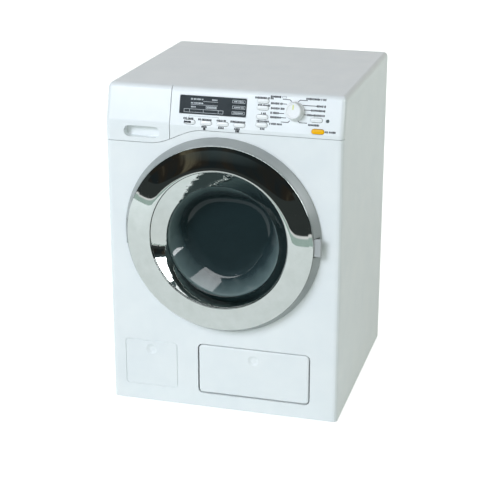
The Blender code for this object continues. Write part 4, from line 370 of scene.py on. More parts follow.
# Chrome: nearly even on the ring, and wavier on the deep funnel
chrome = chrome_plating("decorative_chrome_plate", 30.0, 0.012)
waved_chrome = chrome_plating("waved_chrome_plate", 5.0, 0.06)
# Inks: dark grey captions, their paler lines, the display's pale print, and the knob's yellow pointer
grey_ink = printing_ink("dark_grey_pad_print", "#24282A", "#383D40")
fine_ink = printing_ink("pale_grey_pad_print", "#9AA0A3", "#A9AEB1")
pale_ink = printing_ink("pale_display_print", "#D5DADC", "#BCC3C6")
pointer_ink = printing_ink("yellow_pointer_print", "#D9DD52", "#E3E684")


def smoked_acrylic():
    """Smoked clear acrylic: polished and teal, with faint flow swirls. Its colour is painted paler at the
    rim, as painted light where light enters its edge, and near black at the floor, as painted shade. Its
    reflections are turned down towards the top, a painted shade on them, so the lower half shines more."""
    material, tree, shader = finish("smoked_acrylic", "#2E4145", 0.03, IOR=1.49, Transmission_Weight=0.3)
    front = FRONT_Y - BOWL_PROUD
    swirl = spread(tree, clouds(tree, 14.0, 2.0), 0.0, 0.003)
    depth = add(tree, "Math", {0: along(tree, "Y"), 1: swirl}, operation="ADD")
    # Painted light: paler teal near the rim. Painted shade: near black deeper in, towards the floor
    rim = spread(tree, depth, 0.0, 1.0, front, front + BOWL_RIM_PAINTED_LIGHT_DEPTH)
    floor = spread(tree, depth, 0.0, 1.0, front + BOWL_FLOOR_PAINTED_SHADE_DEPTHS[0], front + BOWL_FLOOR_PAINTED_SHADE_DEPTHS[1])
    drive(shader, "Base Color", between(tree, floor, between(tree, rim, "#7C908F", "#38494C"), "#273739"))
    # Painted shade on the reflections: the specular level falls from the bottom of the bowl to its top
    half = BOWL_RADIUS / 2
    reflection_shade_level = spread(tree, along(tree, "Z"), 0.75, 0.12, BOWL_HEIGHT - half, BOWL_HEIGHT + half)
    drive(shader, "Specular IOR Level", reflection_shade_level)
    drive(shader, "Normal", raised(tree, clouds(tree, 26.0, 1.0), 0.10))
    return material


def silver_abs():
    """ABS filled with aluminium flake: a soft metallic grey. The flake is drawn coarser than real to show."""
    material, tree, shader = finish("silver_flake_abs", "#AEB2B4", 0.36, Metallic=0.55, IOR=1.53)
    flake = add(tree, "TexVoronoi", sized(tree, 0.5)).outputs["Distance"]
    colour_by(tree, shader, flake, "#BEC2C4", "#A2A6A9", 0.0, 0.9)
    drive(shader, "Roughness", spread(tree, flake, 0.28, 0.42, 0.0, 0.8))
    return material


def board_laminate():
    """Glass-fibre board under green lacquer: the copper tracks show as paler stripes."""
    material, tree, shader = finish("lacquered_board_laminate", "#1C5A34", 0.32, IOR=1.55)
    inputs = {**sized(tree, 9.0), "Mortar Size": 0.06, "Color1": linear("#1A5431"),
              "Color2": linear("#206039"), "Mortar": linear("#3D8A4E")}
    drive(shader, "Base Color", add(tree, "TexBrick", inputs).outputs["Color"])
    return material


def cell_sleeve():
    """Shrunk plastic sleeve over a dry cell: slate blue with a pale band at one end."""
    material, tree, shader = finish("shrunk_cell_sleeve", "#2E3F5C", 0.3, IOR=1.5)
    band = spread(tree, along(tree, "X"), 0.0, 1.0, *CELL_BAND)
    drive(shader, "Base Color", between(tree, band, "#C9CDD2", "#2E3F5C"))
    return material


def taped_wires():
    """Bundle of vinyl-covered wires in dark grey tape: slightly shiny, wrapped at a slant."""
    material, tree, shader = finish("taped_vinyl_wires", "#33363A", 0.5, IOR=1.52)
    inputs = {**sized(tree, 5.0 * math.tau), "Distortion": 1.0}
    wrap = add(tree, "TexWave", inputs, bands_direction="DIAGONAL")
    drive(shader, "Base Color", between(tree, wrap.outputs["Fac"], "#2A2D30", "#41454A"))
    return material


smoked = smoked_acrylic()
silver = silver_abs()

NODE_FINISH = {
    inner_abs: ["drawer_housing", "flap_compartment", "drum_tub", "battery_box"],
    dark_abs: ["selector_switch", "speaker"],
    lamp_lens: ["indicator_lamp"],
    nylon: ["front_bearing", "rear_bearing", "door_catch", "motor_bracket", "drum_pulley", "motor_pulley"],
    rubber: ["button_mat", "drive_belt"],
    steel: ["door_hinge_pin", "flap_hinge_pin_left", "flap_hinge_pin_right", "drive_motor", "drum_shaft",
            "shaft_clip", "motor_shaft"],
    board_laminate(): ["circuit_board"],
    cell_sleeve(): [f"battery_cell_{k}" for k in range(1, 5)],
    taped_wires(): ["wiring_loom"],
    display_face: ["display_window"],
}
for material, names in NODE_FINISH.items():
    for name in names:
        for slot in frame["nodes"][name].material_slots:
            slot.material = material


# Shapes
def joined(*parts):
    """Matching arrays as one array with a last axis that runs through them, such as x, y and z."""
    return np.stack(np.broadcast_arrays(*parts), axis=-1)


def on_front(x, z, proud):
    """Front view to world: x right, z up, proud out of the front plane."""
    return joined(x, FRONT_Y - proud, z)


def on_panel(x, slope, proud):
    """Control panel to world: slope runs up the leaning face from the kink, proud out of it."""
    y = FRONT_Y + slope * PANEL_OUT.z + proud * PANEL_OUT.y
    return joined(x, y, KINK_HEIGHT - slope * PANEL_OUT.y + proud * PANEL_OUT.z)


def panel_span(node, least_proud=-1.0):
    """Lowest and highest (x, slope, proud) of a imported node's points that stand at least this proud."""
    points = np.array([vertex.co for vertex in frame["nodes"][node].data.vertices])
    y, z = points[:, 1] - FRONT_Y, points[:, 2] - KINK_HEIGHT
    slope, proud = y * PANEL_OUT.z - z * PANEL_OUT.y, y * PANEL_OUT.y + z * PANEL_OUT.z
    spans = np.stack([points[:, 0], slope, proud], axis=1)[proud > least_proud]
    return spans.min(axis=0), spans.max(axis=0)


def grid_faces(rows, columns, wrap_rows, wrap_columns):
    """Quads of a grid of points as one index array. A wrapped direction joins its last line to its first."""
    r = np.arange(rows if wrap_rows else rows - 1)[:, None]
    c = np.arange(columns if wrap_columns else columns - 1)[None, :]
    r2, c2 = (r + 1) % rows, (c + 1) % columns
    corners = joined(r * columns + c, r * columns + c2, r2 * columns + c2, r2 * columns + c)
    return corners.reshape(-1, 4)


def linked(name, data):
    """A new object at the origin that holds this data, linked into the scene."""
    item = bpy.data.objects.new(name, data)
    bpy.context.scene.collection.objects.link(item)
    return item


def mesh_object(name, points, faces, material, fill=False):
    """A mesh from points and faces, its doubles merged, open ends filled if asked, and faces turned out."""
    data = bpy.data.meshes.new(name)
    data.from_pydata(points.reshape(-1, 3).tolist(), [], faces.tolist())
    shape = bmesh.new()
    shape.from_mesh(data)
    bmesh.ops.remove_doubles(shape, verts=shape.verts, dist=1e-7)
    if fill:
        bmesh.ops.holes_fill(shape, edges=shape.edges)
    bmesh.ops.recalc_face_normals(shape, faces=shape.faces)
    shape.to_mesh(data)
    shape.free()
    data.materials.append(material)
    return linked(name, data)


def soft_shade(item, angle=30.0):
    """Smooth shading with edges sharper than the angle left crisp."""
    item.data.polygons.foreach_set("use_smooth", [True] * len(item.data.polygons))
    item.data.set_sharp_from_angle(angle=math.radians(angle))
    return item


def settle(item, body, slot, *nodes):
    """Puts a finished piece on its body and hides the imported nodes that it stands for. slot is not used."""
    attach(item, body)
    if nodes:
        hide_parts(*nodes)
    return item


def eased(corners, radii, steps=5):
    """A closed outline with rounded corners, their radii in millimetres: each corner gives way to a
    quadratic curve that touches both of its sides where a circle of that radius would."""
    corners = np.asarray(corners, float)
    to_before, to_after = np.roll(corners, 1, axis=0) - corners, np.roll(corners, -1, axis=0) - corners
    length_before = np.linalg.norm(to_before, axis=1, keepdims=True)
    length_after = np.linalg.norm(to_after, axis=1, keepdims=True)
    cosine = np.sum(to_before * to_after, axis=1, keepdims=True) / (length_before * length_after)
    half = np.arccos(np.clip(cosine, -1, 1)) / 2
    longest = np.minimum(length_before, length_after) * 0.49
    reach = np.minimum(np.asarray(radii, float)[:, None] * MM / np.tan(half), longest)
    start, end = corners + to_before / length_before * reach, corners + to_after / length_after * reach
    t = np.linspace(0, 1, steps + 1)[None, :, None]
    arcs = (1 - t) ** 2 * start[:, None] + 2 * t * (1 - t) * corners[:, None] + t ** 2 * end[:, None]
    return arcs.reshape(-1, 2)


def eased_part(corners, radii, first, last, steps):
    """The points of an eased outline from the curve at one corner to the curve at another."""
    return eased(corners, radii, steps)[first * (steps + 1):(last + 1) * (steps + 1)]


def turned(name, profile, material, centre=(0.0, DOOR_HEIGHT), steps=RING_STEPS, place=on_front, drop=None):
    """A closed profile of (radius, proud) pairs carried round a circle. drop lowers each point's circle."""
    profile = np.asarray(profile)
    lowered = np.zeros((len(profile), 1)) if drop is None else np.asarray(drop)[:, None]
    angle = np.linspace(0, math.tau, steps, endpoint=False)
    radius, proud = profile[:, 0][:, None], profile[:, 1][:, None]
    points = place(centre[0] + radius * np.cos(angle), centre[1] - lowered + radius * np.sin(angle), proud)
    return mesh_object(name, points, grid_faces(len(profile), steps, True, True), material)


def carve(item, cutters, operation="DIFFERENCE"):
    """Applies cutters or additions to a piece as solid booleans and removes them."""
    for cutter in cutters:
        step = item.modifiers.new("carve", "BOOLEAN")
        step.object, step.operation, step.solver = cutter, operation, "EXACT"
        bpy.context.view_layer.update()
        held = bpy.data.meshes.new_from_object(item.evaluated_get(bpy.context.evaluated_depsgraph_get()))
        item.modifiers.remove(step)
        item.data = held
        bpy.data.objects.remove(cutter)
    return item


def brick(name, low, high, place=on_front):
    """A box between two corners (x, z or slope, proud), used to carve or to add."""
    corner = np.array([(x, up, proud) for x in (low[0], high[0]) for up in (low[1], high[1])
                       for proud in (low[2], high[2])])
    faces = np.array([(0, 1, 3, 2), (4, 6, 7, 5), (0, 4, 5, 1), (2, 3, 7, 6), (0, 2, 6, 4), (1, 5, 7, 3)])
    return mesh_object(name, place(corner[:, 0], corner[:, 1], corner[:, 2]), faces, None)


def door_brick(name, low, high):
    """A box whose height is given from the door's axis."""
    return brick(name, (low[0], DOOR_HEIGHT + low[1], low[2]), (high[0], DOOR_HEIGHT + high[1], high[2]))


def hinge_rod(name, radius, low, high, material=None):
    """A round bar on the door hinge's axis, between two heights from the door's axis."""
    angle = np.linspace(0, math.tau, ROD_STEPS, endpoint=False)
    height = np.array([[DOOR_HEIGHT + low], [DOOR_HEIGHT + high]])
    points = joined(HINGE_X + radius * np.cos(angle), FRONT_Y - HINGE_PROUD + radius * np.sin(angle), height)
    return mesh_object(name, points, grid_faces(2, ROD_STEPS, False, True), material, fill=True)


def refined(name, material, edge, kink=False, limit=SHARP_ANGLE):
    """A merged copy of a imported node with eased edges: fine on its corners, and broad along the kink."""
    data = frame["nodes"][name].data.copy()
    shape = bmesh.new()
    shape.from_mesh(data)
    bmesh.ops.remove_doubles(shape, verts=shape.verts, dist=SAME_PLACE)
    bmesh.ops.dissolve_limit(shape, angle_limit=math.radians(FLAT_ANGLE), verts=shape.verts,
                             edges=shape.edges)
    if kink:
        crease = [e for e in shape.edges
                  if len(e.link_faces) == 2 and all(abs(v.co.z - KINK_HEIGHT) < KINK_BAND for v in e.verts)
                  and all(v.co.y < FRONT_Y + KINK_DEPTH for v in e.verts)
                  and KINK_ANGLES[0] < math.degrees(e.calc_face_angle(0)) < KINK_ANGLES[1]
                  and e.calc_length() > KINK_LEAST_LENGTH]
        bmesh.ops.bevel(shape, geom=crease, offset=KINK_ROUND, segments=5, profile=0.5, affect="EDGES",
                        clamp_overlap=True)
    shape.to_mesh(data)
    shape.free()
    data.materials.clear()
    data.materials.append(material)
    item = soft_shade(linked(name + "_dressed", data), limit)
    if edge:
        ease = item.modifiers.new("edge", "BEVEL")
        ease.width, ease.segments, ease.limit_method = edge, 2, "ANGLE"
        ease.angle_limit = math.radians(limit)
    even = item.modifiers.new("even", "WEIGHTED_NORMAL")
    even.keep_sharp, even.weight = True, 100
    return item


# Cabinet
# Each moulding's body, the ease of its edges in millimetres, and what refined takes besides
for name, body, edge, *besides in (("cabinet_shell", "cabinet", 0.18),
                                   ("front_panel", "cabinet", 0.12, False, DIMPLE_ANGLE),
                                   ("control_fascia", "cabinet", 0.15, True),
                                   ("detergent_drawer", "drawer", 0.18, True),
                                   ("service_flap", "flap", 0.3, False, DIMPLE_ANGLE),
                                   ("rear_cover", "cabinet", 0.2),
                                   ("battery_cover", "cabinet", 0.2),
                                   ("base_plate", "cabinet", 0.2)):
    settle(refined(name, white_abs, edge * MM, *besides), body, "white_abs", name)


# Door
def make_surround():
    """Grey fixed ring: a shallow dish with a conical rim, lugs for the hinge and notches for the door."""
    rim_outer = SURROUND_RADIUS - SURROUND_CONE_WIDTH
    rim_inner = rim_outer - SURROUND_RIM_WALL
    profile = eased([(SURROUND_BORE, SURROUND_BACK), (SURROUND_RADIUS, SURROUND_BACK),
                     (SURROUND_RADIUS, SURROUND_FOOT), (rim_outer, SURROUND_RIM), (rim_inner, SURROUND_RIM),
                     (rim_inner, SURROUND_FLOOR), (SURROUND_BORE, SURROUND_FLOOR)],
                    [0.1, 0.1, 0.4, 0.6, 0.3, 0.4, 0.4])
    ring = turned("door_surround_ring", profile, grey_abs)
    lugs = [hinge_rod("lug", HINGE_BARREL_RADIUS, *sorted((side * HINGE_LUG_START, side * HINGE_LUG_END)))
            for side in (1, -1)]
    carve(ring, lugs, "UNION")
    over = SURROUND_RIM + OVERRUN
    notch = door_brick("hinge_notch", (HINGE_X - HINGE_NOTCH_REACH, -HINGE_NOTCH_HALF, HINGE_NOTCH_PROUD),
                       (HINGE_X + HINGE_NOTCH_REACH, HINGE_NOTCH_HALF, over))
    tab = door_brick("tab_notch", (TAB_NOTCH_X, -TAB_NOTCH_HALF, TAB_NOTCH_PROUD),
                     (SURROUND_RADIUS + OVERRUN, TAB_NOTCH_HALF, over))
    hook = door_brick("hook_slot", (HOOK_START - HOOK_CLEARANCE, -HOOK_HALF - HOOK_CLEARANCE, -OVERRUN),
                      (HOOK_END + HOOK_CLEARANCE, HOOK_HALF + HOOK_CLEARANCE, SURROUND_FLOOR + OVERRUN))
    carve(ring, [notch, tab, hook])
    return settle(soft_shade(ring), "cabinet", "grey_abs", "door_surround")


def make_chrome_ring():
    """Plated outer ring. Its slope starts level at the crest and steepens towards an even fall as
    1 - exp(-t / crown), where t runs from the crest to the shoulder, so that the crest is softly crowned."""
    shoulder = CHROME_RADIUS - SHOULDER_WIDTH
    t = np.linspace(0, 1, CHROME_STEPS)
    fall = t - CROWN_SHARE * (1 - np.exp(-t / CROWN_SHARE))
    fall = fall / fall[-1]
    radius = CREST_RADIUS + (shoulder - CREST_RADIUS) * t
    face = np.stack([radius, CREST_PROUD + (SHOULDER_PROUD - CREST_PROUD) * fall], axis=1)
    lip = eased_part([(CREST_INNER_RADIUS, CREST_LIP_PROUD), (CREST_INNER_RADIUS, CREST_PROUD),
                      face[CHROME_LIP_AT]],
                     [0, 0.8, 0], 1, 1, 8)
    edge = eased_part([face[-2], (CHROME_RADIUS, SHOULDER_PROUD - SHOULDER_STEP),
                       (CHROME_RADIUS, CHROME_BACK_PROUD)], [0, 1.6, 0], 1, 1, 8)
    back = [(CHROME_RADIUS, CHROME_BACK_PROUD), (shoulder, CHROME_BACK_PROUD),
            (CREST_RADIUS + CHROME_WALL, CREST_LIP_PROUD), (CREST_INNER_RADIUS, CREST_LIP_PROUD)]
    ring = turned("door_chrome_face", np.concatenate([lip, face[CHROME_LIP_AT:-2], edge, back]), chrome)
    return settle(soft_shade(ring, 50), "door", "chrome_plating", "door_chrome_ring")


def make_funnel():
    """Plated funnel: a cone from the crest down to a short straight lip over the window. Its circles slide
    down as they sink, because the window sits lower than the door's axis."""
    foot = FUNNEL_LIP_PROUD + FUNNEL_LIP_DEPTH
    outer, flange = FUNNEL_FOOT_RADIUS + FUNNEL_WALL, FUNNEL_FLANGE_BACK + FUNNEL_FLANGE
    front = eased([(FUNNEL_TOP_RADIUS, FUNNEL_PROUD), (FUNNEL_FOOT_RADIUS, foot),
                   (FUNNEL_FOOT_RADIUS, FUNNEL_LIP_PROUD), (outer, FUNNEL_LIP_PROUD), (outer, foot),
                   (FUNNEL_NECK_RADIUS, FUNNEL_FLANGE_BACK), (FUNNEL_FLANGE_RADIUS, FUNNEL_FLANGE_BACK),
                   (FUNNEL_FLANGE_RADIUS, flange), (FUNNEL_NECK_RADIUS, flange)],
                  [0.2, 2.2, 0.6, 0.2, 0.2, 0.2, 0.2, 0.2, 0.2], 7)
    sunk = np.clip((FUNNEL_PROUD - front[:, 1]) / (FUNNEL_PROUD - foot), 0, 1)
    outside = np.clip((front[:, 0] - FUNNEL_NECK_RADIUS + FUNNEL_WALL) / FUNNEL_WALL, 0, 1)
    drop = (DOOR_HEIGHT - BOWL_HEIGHT) * sunk * (1 - outside)
    ring = turned("door_funnel", front, waved_chrome, drop=drop)
    return settle(soft_shade(ring, 40), "door", "chrome_plating", "door_inner_ring")


def make_bowl():
    """Smoked bowl. Down its wall the radius falls from the rim to the floor, through a flared rim and a tight
    fillet, and the round section eases into an egg: radius x (1 + share x cos 3(angle - 270 degrees)),
    pressed together in height. The outside is the same surface, moved out by the wall."""
    depth = BOWL_PROUD - BOWL_BACK_PROUD - BOWL_WALL - BOWL_SHALLOW
    rim, floor = BOWL_RADIUS - BOWL_WALL, BOWL_RADIUS * BOWL_FLOOR_SHARE
    corners = [(0.0, 0.0), (BOWL_FLANGE_RADIUS, 0.0), (rim, 0.0), (floor, BOWL_FLOOR_RISE * depth),
               (0.0, depth)]
    inside = eased_part(corners, [0, 0, 1.6, 8.5, 0], 2, 3, 10)
    steps = np.linspace(0, 1, BOWL_FLOOR_STEPS)[1:, None] ** BOWL_FLOOR_EASE
    base = inside[-1] * (1 - steps) + np.array([0.0, depth]) * steps
    inside = np.concatenate([[[BOWL_FLANGE_RADIUS, 0.0]], inside, base])
    run, sink = np.gradient(inside[:, 0]), np.gradient(inside[:, 1])
    slope = sink / np.maximum(np.hypot(run, sink), 1e-9)
    outside = inside + BOWL_WALL * joined(slope, np.sqrt(np.clip(1 - slope ** 2, 0, 1)))
    outside[0] = (BOWL_FLANGE_RADIUS, BOWL_WALL)
    outside[-1, 0] = 0.0
    outside[:, 0] = np.minimum(outside[:, 0], BOWL_FLANGE_RADIUS)
    outside[:, 1] = np.minimum(outside[:, 1], depth + BOWL_WALL)
    profile = np.concatenate([inside, outside[::-1]])
    sunk = np.clip(profile[:, 1] / depth, 0, 1)[:, None]
    blend = sunk * sunk * (3 - 2 * sunk)
    angle = np.linspace(0, math.tau, RING_STEPS, endpoint=False)
    egg = 1 + BOWL_EGG_SHARE * blend * np.cos(3 * (angle - 1.5 * math.pi))
    press = 1 - (1 - BOWL_SQUASH_SHARE) * blend
    radius = profile[:, 0][:, None] * egg
    height = radius * press * np.sin(angle)
    points = on_front(radius * np.cos(angle), BOWL_HEIGHT + height + BOWL_RAISE * blend,
                      BOWL_PROUD - profile[:, 1][:, None] - BOWL_LEAN * height * blend)
    bowl = mesh_object("door_bowl", points, grid_faces(len(profile), RING_STEPS, True, True), smoked)
    return settle(soft_shade(bowl, 50), "door", "smoked_acrylic", "door_window")


def make_door_channel():
    """Black channel ring behind the chrome, with the catch's hook on the right."""
    low_wall, high_wall = CHANNEL_INNER + CHANNEL_WALL, CHANNEL_OUTER - CHANNEL_WALL
    profile = eased([(CHANNEL_INNER, CHANNEL_BACK), (CHANNEL_OUTER, CHANNEL_BACK),
                     (CHANNEL_OUTER, CHANNEL_RIM), (high_wall, CHANNEL_RIM), (high_wall, CHANNEL_FLOOR),
                     (low_wall, CHANNEL_FLOOR), (low_wall, CHANNEL_INNER_RIM),
                     (CHANNEL_INNER, CHANNEL_INNER_RIM)],
                    [0.5] * 2 + [0.2] * 6)
    ring = turned("door_back_channel", profile, dark_abs)
    carve(ring, [door_brick("hook", (HOOK_START, -HOOK_HALF, HOOK_TIP_PROUD),
                            (HOOK_END, HOOK_HALF, HOOK_ROOT_PROUD))], "UNION")
    carve(ring, [door_brick("seat", (TAB_SEAT_X, -TAB_SEAT_HALF, TAB_SEAT_PROUD),
                            (SURROUND_RADIUS, TAB_SEAT_HALF, CHANNEL_RIM + OVERRUN)),
                 door_brick("leaf_seat", (HINGE_X - OVERRUN, -HINGE_ARM_HALF, HINGE_ARM_BACK),
                            (-HINGE_ARM_REACH, HINGE_ARM_HALF, CHANNEL_RIM + OVERRUN))])
    return settle(soft_shade(ring), "door", "dark_abs", "door_back_frame")


def make_hinge_leaf():
    """Grey leaf of the door hinge: a barrel round the pin, and an arm into the channel."""
    leaf = hinge_rod("door_hinge_leaf", HINGE_BARREL_RADIUS, -HINGE_BARREL_HALF, HINGE_BARREL_HALF, grey_abs)
    carve(leaf, [door_brick("arm", (HINGE_X, -HINGE_ARM_HALF, HINGE_ARM_BACK),
                            (-HINGE_ARM_REACH, HINGE_ARM_HALF, HINGE_ARM_FRONT))], "UNION")
    carve(leaf, [hinge_rod("bore", HINGE_BORE_RADIUS, -HINGE_LUG_END, HINGE_LUG_END)])
    return settle(soft_shade(leaf), "door", "grey_abs")


make_surround()
make_chrome_ring()
make_funnel()
make_bowl()
make_door_channel()
make_hinge_leaf()
settle(refined("door_pull_tab", tab_abs, 0.0), "door", "light_grey_abs", "door_pull_tab")


# Knob and buttons
def make_knob():
    """Selector knob: a low skirt and a tapering grip with a faintly dished face."""
    centre = [sum(ends) / 2 for ends in zip(*panel_span("selector_knob"))][:2]
    dish = KNOB_FACE - KNOB_DISH
    profile = eased([(0, -KNOB_STEM_LENGTH), (KNOB_STEM_RADIUS, -KNOB_STEM_LENGTH),
                     (KNOB_STEM_RADIUS, KNOB_LIFT), (KNOB_BASE_RADIUS, KNOB_LIFT),
                     (KNOB_BASE_RADIUS, KNOB_SKIRT), (KNOB_GRIP_RADIUS, KNOB_SKIRT + KNOB_SKIRT_SLOPE),
                     (KNOB_FACE_RADIUS, KNOB_FACE), (KNOB_FACE_RADIUS - KNOB_LIP[0], KNOB_FACE),
                     (KNOB_FACE_RADIUS - KNOB_LIP[1], dish), (0, dish)],
                    [0, 0.2, 0.2, 0.2, 0.3, 0.5, 0.7, 0.3, 0.3, 0], 6)
    profile[:, 0] = np.maximum(profile[:, 0], 0)
    knob = turned("selector_knob_cap", profile, key_abs, centre, SMALL_RING_STEPS, on_panel)
    settle(soft_shade(knob, 35), "knob", "white_abs", "selector_knob")
    return centre


def pill_outline(width, height, inset):
    """A stadium's outline pulled in by inset: two half circles joined by straight sides."""
    radius = height / 2 - inset
    turn = np.linspace(-math.pi / 2, math.pi / 2, PILL_STEPS)
    right = np.stack([(width - height) / 2 + radius * np.cos(turn), radius * np.sin(turn)], axis=1)
    return np.concatenate([right, -right])


def make_button(name, material, slot):
    """Push button: a stack of stadium outlines that draw in to a crowned face, and two wings behind it."""
    low, high = panel_span(name, 0.0)
    x, slope = (low[0] + high[0]) / 2, (low[1] + high[1]) / 2
    width, height, proud = high[0] - low[0], high[1] - low[1], high[2]
    root = panel_span(name)[0][2]
    t = np.linspace(0, math.pi / 2, BUTTON_STEPS)
    insets = np.concatenate([[0, 0], BUTTON_ROUND * (1 - np.cos(t)), [height / 2 - BUTTON_TOP_HALF]])
    crown = proud * (BUTTON_WALL_SHARE + BUTTON_CROWN_SHARE * np.sin(t))
    lifts = np.concatenate([[root, BUTTON_FOOT], crown, [proud]])
    outline = np.stack([pill_outline(width, height, inset) for inset in insets])
    points = on_panel(x + outline[..., 0], slope + outline[..., 1], lifts[:, None])
    cap = mesh_object(name + "_cap", points, grid_faces(*outline.shape[:2], False, True), material, fill=True)
    reach, half = width / 2 + BUTTON_FLANGE, height / 2 - BUTTON_WING_INSET
    carve(cap, [brick("wings", (x - reach, slope - half, root + BUTTON_WING[0]),
                      (x + reach, slope + half, root + BUTTON_WING[1]), on_panel)], "UNION")
    settle(soft_shade(cap, 35), name, slot, name)


knob_centre = make_knob()
for k in range(1, 5):
    make_button(f"option_button_{k}", key_abs, "white_abs")
    make_button(f"program_button_{k}", key_abs, "white_abs")
make_button("start_button", key_abs, "white_abs")
make_button("power_button", yellow_abs, "yellow_abs")


# Drum and screws
def make_drum():
    """Perforated drum: a turned shell with a rolled mouth and rows of round holes."""
    lowest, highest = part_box("drum")
    outer, front, back = highest.x, FRONT_Y - lowest.y, FRONT_Y - highest.y
    inner, boss = outer - DRUM_WALL, back + DRUM_BOSS_LENGTH
    profile = eased([(DRUM_MOUTH_RADIUS, front), (outer, front), (outer, back), (DRUM_BORE_RADIUS, back),
                     (DRUM_BORE_RADIUS, boss), (DRUM_BOSS_RADIUS, boss), (DRUM_BOSS_RADIUS, back + DRUM_WALL),
                     (inner, back + DRUM_WALL), (inner, front - DRUM_WALL),
                     (DRUM_MOUTH_RADIUS, front - DRUM_WALL)], [0.5, 1, 1, 0.2, 0.3, 0.6, 0.6, 2, 0.8, 0.5])
    shell = turned("drum_shell", profile, silver, steps=SMALL_RING_STEPS)
    angle = np.linspace(0, math.tau, DRUM_HOLE_STEPS, endpoint=False)
    for row in range(DRUM_HOLE_ROWS):
        depth = DRUM_HOLE_FIRST_DEPTH + DRUM_HOLE_PITCH * row
        for k in range(DRUM_HOLES_PER_ROW):
            turn = math.tau * (k + 0.5) / DRUM_HOLES_PER_ROW
            out = np.array([math.sin(turn), 0, math.cos(turn)])
            side = np.array([math.cos(turn), 0, -math.sin(turn)])
            ring = np.cos(angle)[:, None] * side + np.sin(angle)[:, None] * np.array([0, 1, 0])
            ring = np.array([0, FRONT_Y + depth, DOOR_HEIGHT]) + DRUM_HOLE_RADIUS * ring
            points = np.stack([ring + out * (inner - OVERRUN), ring + out * (outer + OVERRUN)])
            faces = grid_faces(2, DRUM_HOLE_STEPS, False, True)
            carve(shell, [mesh_object("hole", points, faces, None, fill=True)])
    return settle(soft_shade(shell), "drum", "silver_abs", "drum")


def make_ribs():
    """Three lifting ribs: a rounded trapezoid bent onto the drum's wall, which rises and sinks along its
    length as a quarter circle at either end. Each row of points is the trapezoid pressed to that height."""
    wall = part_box("drum")[1].x - DRUM_WALL
    section = eased([(-RIB_BASE_WIDTH / 2, -DRUM_WALL / 2), (RIB_BASE_WIDTH / 2, -DRUM_WALL / 2),
                     (RIB_TOP_WIDTH / 2, RIB_HEIGHT), (-RIB_TOP_WIDTH / 2, RIB_HEIGHT)], [0, 0, 2, 2], 8)
    length = RIB_DEPTHS[1] - RIB_DEPTHS[0]
    quarter = np.linspace(0, math.pi / 2, RIB_END_STEPS)
    rise, run = np.sin(quarter), RIB_END_ROUND * (1 - np.cos(quarter))
    along = np.concatenate([run, length - run[::-1]])
    height = np.concatenate([rise, rise[::-1]])[:, None]
    rows, columns = len(along), len(section)
    points, faces = [], []
    for k in range(3):
        middle_turn = math.pi + math.tau * k / 3
        turn = middle_turn + section[:, 0] / wall * (1 - RIB_END_NARROWING * (1 - height))
        radius = wall - section[:, 1] * np.where(section[:, 1] > 0, height, 1)
        y = FRONT_Y + RIB_DEPTHS[0] + along[:, None]
        bent = joined(radius * np.sin(turn), y, DOOR_HEIGHT + radius * np.cos(turn))
        points.append(bent.reshape(-1, 3))
        faces.append(grid_faces(rows, columns, False, True) + k * rows * columns)
    ribs = mesh_object("drum_ribs", np.concatenate(points), np.concatenate(faces), silver, fill=True)
    return settle(soft_shade(ribs, 40), "drum", "silver_abs")


def make_screw(name, out):
    """Screw with a domed head and a cross recess. The head's height over its disc is an ellipse's dome less
    the recess where either of two crossed slots passes. Side, neck, shank and tip follow as plain rings."""
    lowest, highest = (np.array(corner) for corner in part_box(name))
    axis = int(np.argmax(np.abs(out)))
    sides = [np.eye(3)[k] for k in range(3) if k != axis]
    centre, length = (lowest + highest) / 2, highest[axis] - lowest[axis]
    top = np.where(np.array(out) > 0, highest, lowest)[axis]
    share = np.linspace(0, 1, SCREW_RINGS)[:, None]
    angle = np.linspace(0, math.tau, SCREW_SPOKES, endpoint=False)[None, :]
    across, up = share * np.cos(angle), share * np.sin(angle)
    slots = [np.clip(2 - np.abs(p) / SCREW_SLOT_HALF_SHARE, 0, 1) * (np.abs(q) < SCREW_SLOT_REACH_SHARE)
             for p, q in ((across, up), (up, across))]
    dome = SCREW_HEAD_HEIGHT * SCREW_DOME_SHARE * (1 - np.sqrt(1 - SCREW_DOME_FLATNESS * share ** 2))
    depth = dome + SCREW_RECESS_DEPTH * np.maximum(*slots)
    plain = [(SCREW_HEAD_RADIUS, SCREW_HEAD_HEIGHT), (SCREW_SHANK_RADIUS, SCREW_HEAD_HEIGHT),
             (SCREW_SHANK_RADIUS, length - SCREW_SHANK_RADIUS), (0.0, length)]
    radii = np.concatenate([share * SCREW_HEAD_RADIUS, np.array(plain)[:, :1]])
    depth = np.concatenate([depth, np.array(plain)[:, 1:] + 0 * angle])
    points = (radii * np.cos(angle))[..., None] * sides[0] + (radii * np.sin(angle))[..., None] * sides[1]
    unit = np.eye(3)[axis]
    points = points + np.where(unit > 0, 0, centre) + (top - depth * np.sign(out[axis]))[..., None] * unit
    screw = mesh_object(name + "_dressed", points, grid_faces(len(radii), SCREW_SPOKES, False, True), steel)
    return settle(soft_shade(screw, 35), "cabinet", "plated_steel", name)


make_drum()
make_ribs()
for k in range(1, 5):
    make_screw(f"rear_cover_screw_{k}", (0, 1, 0))
make_screw("battery_cover_screw", (0, 0, -1))


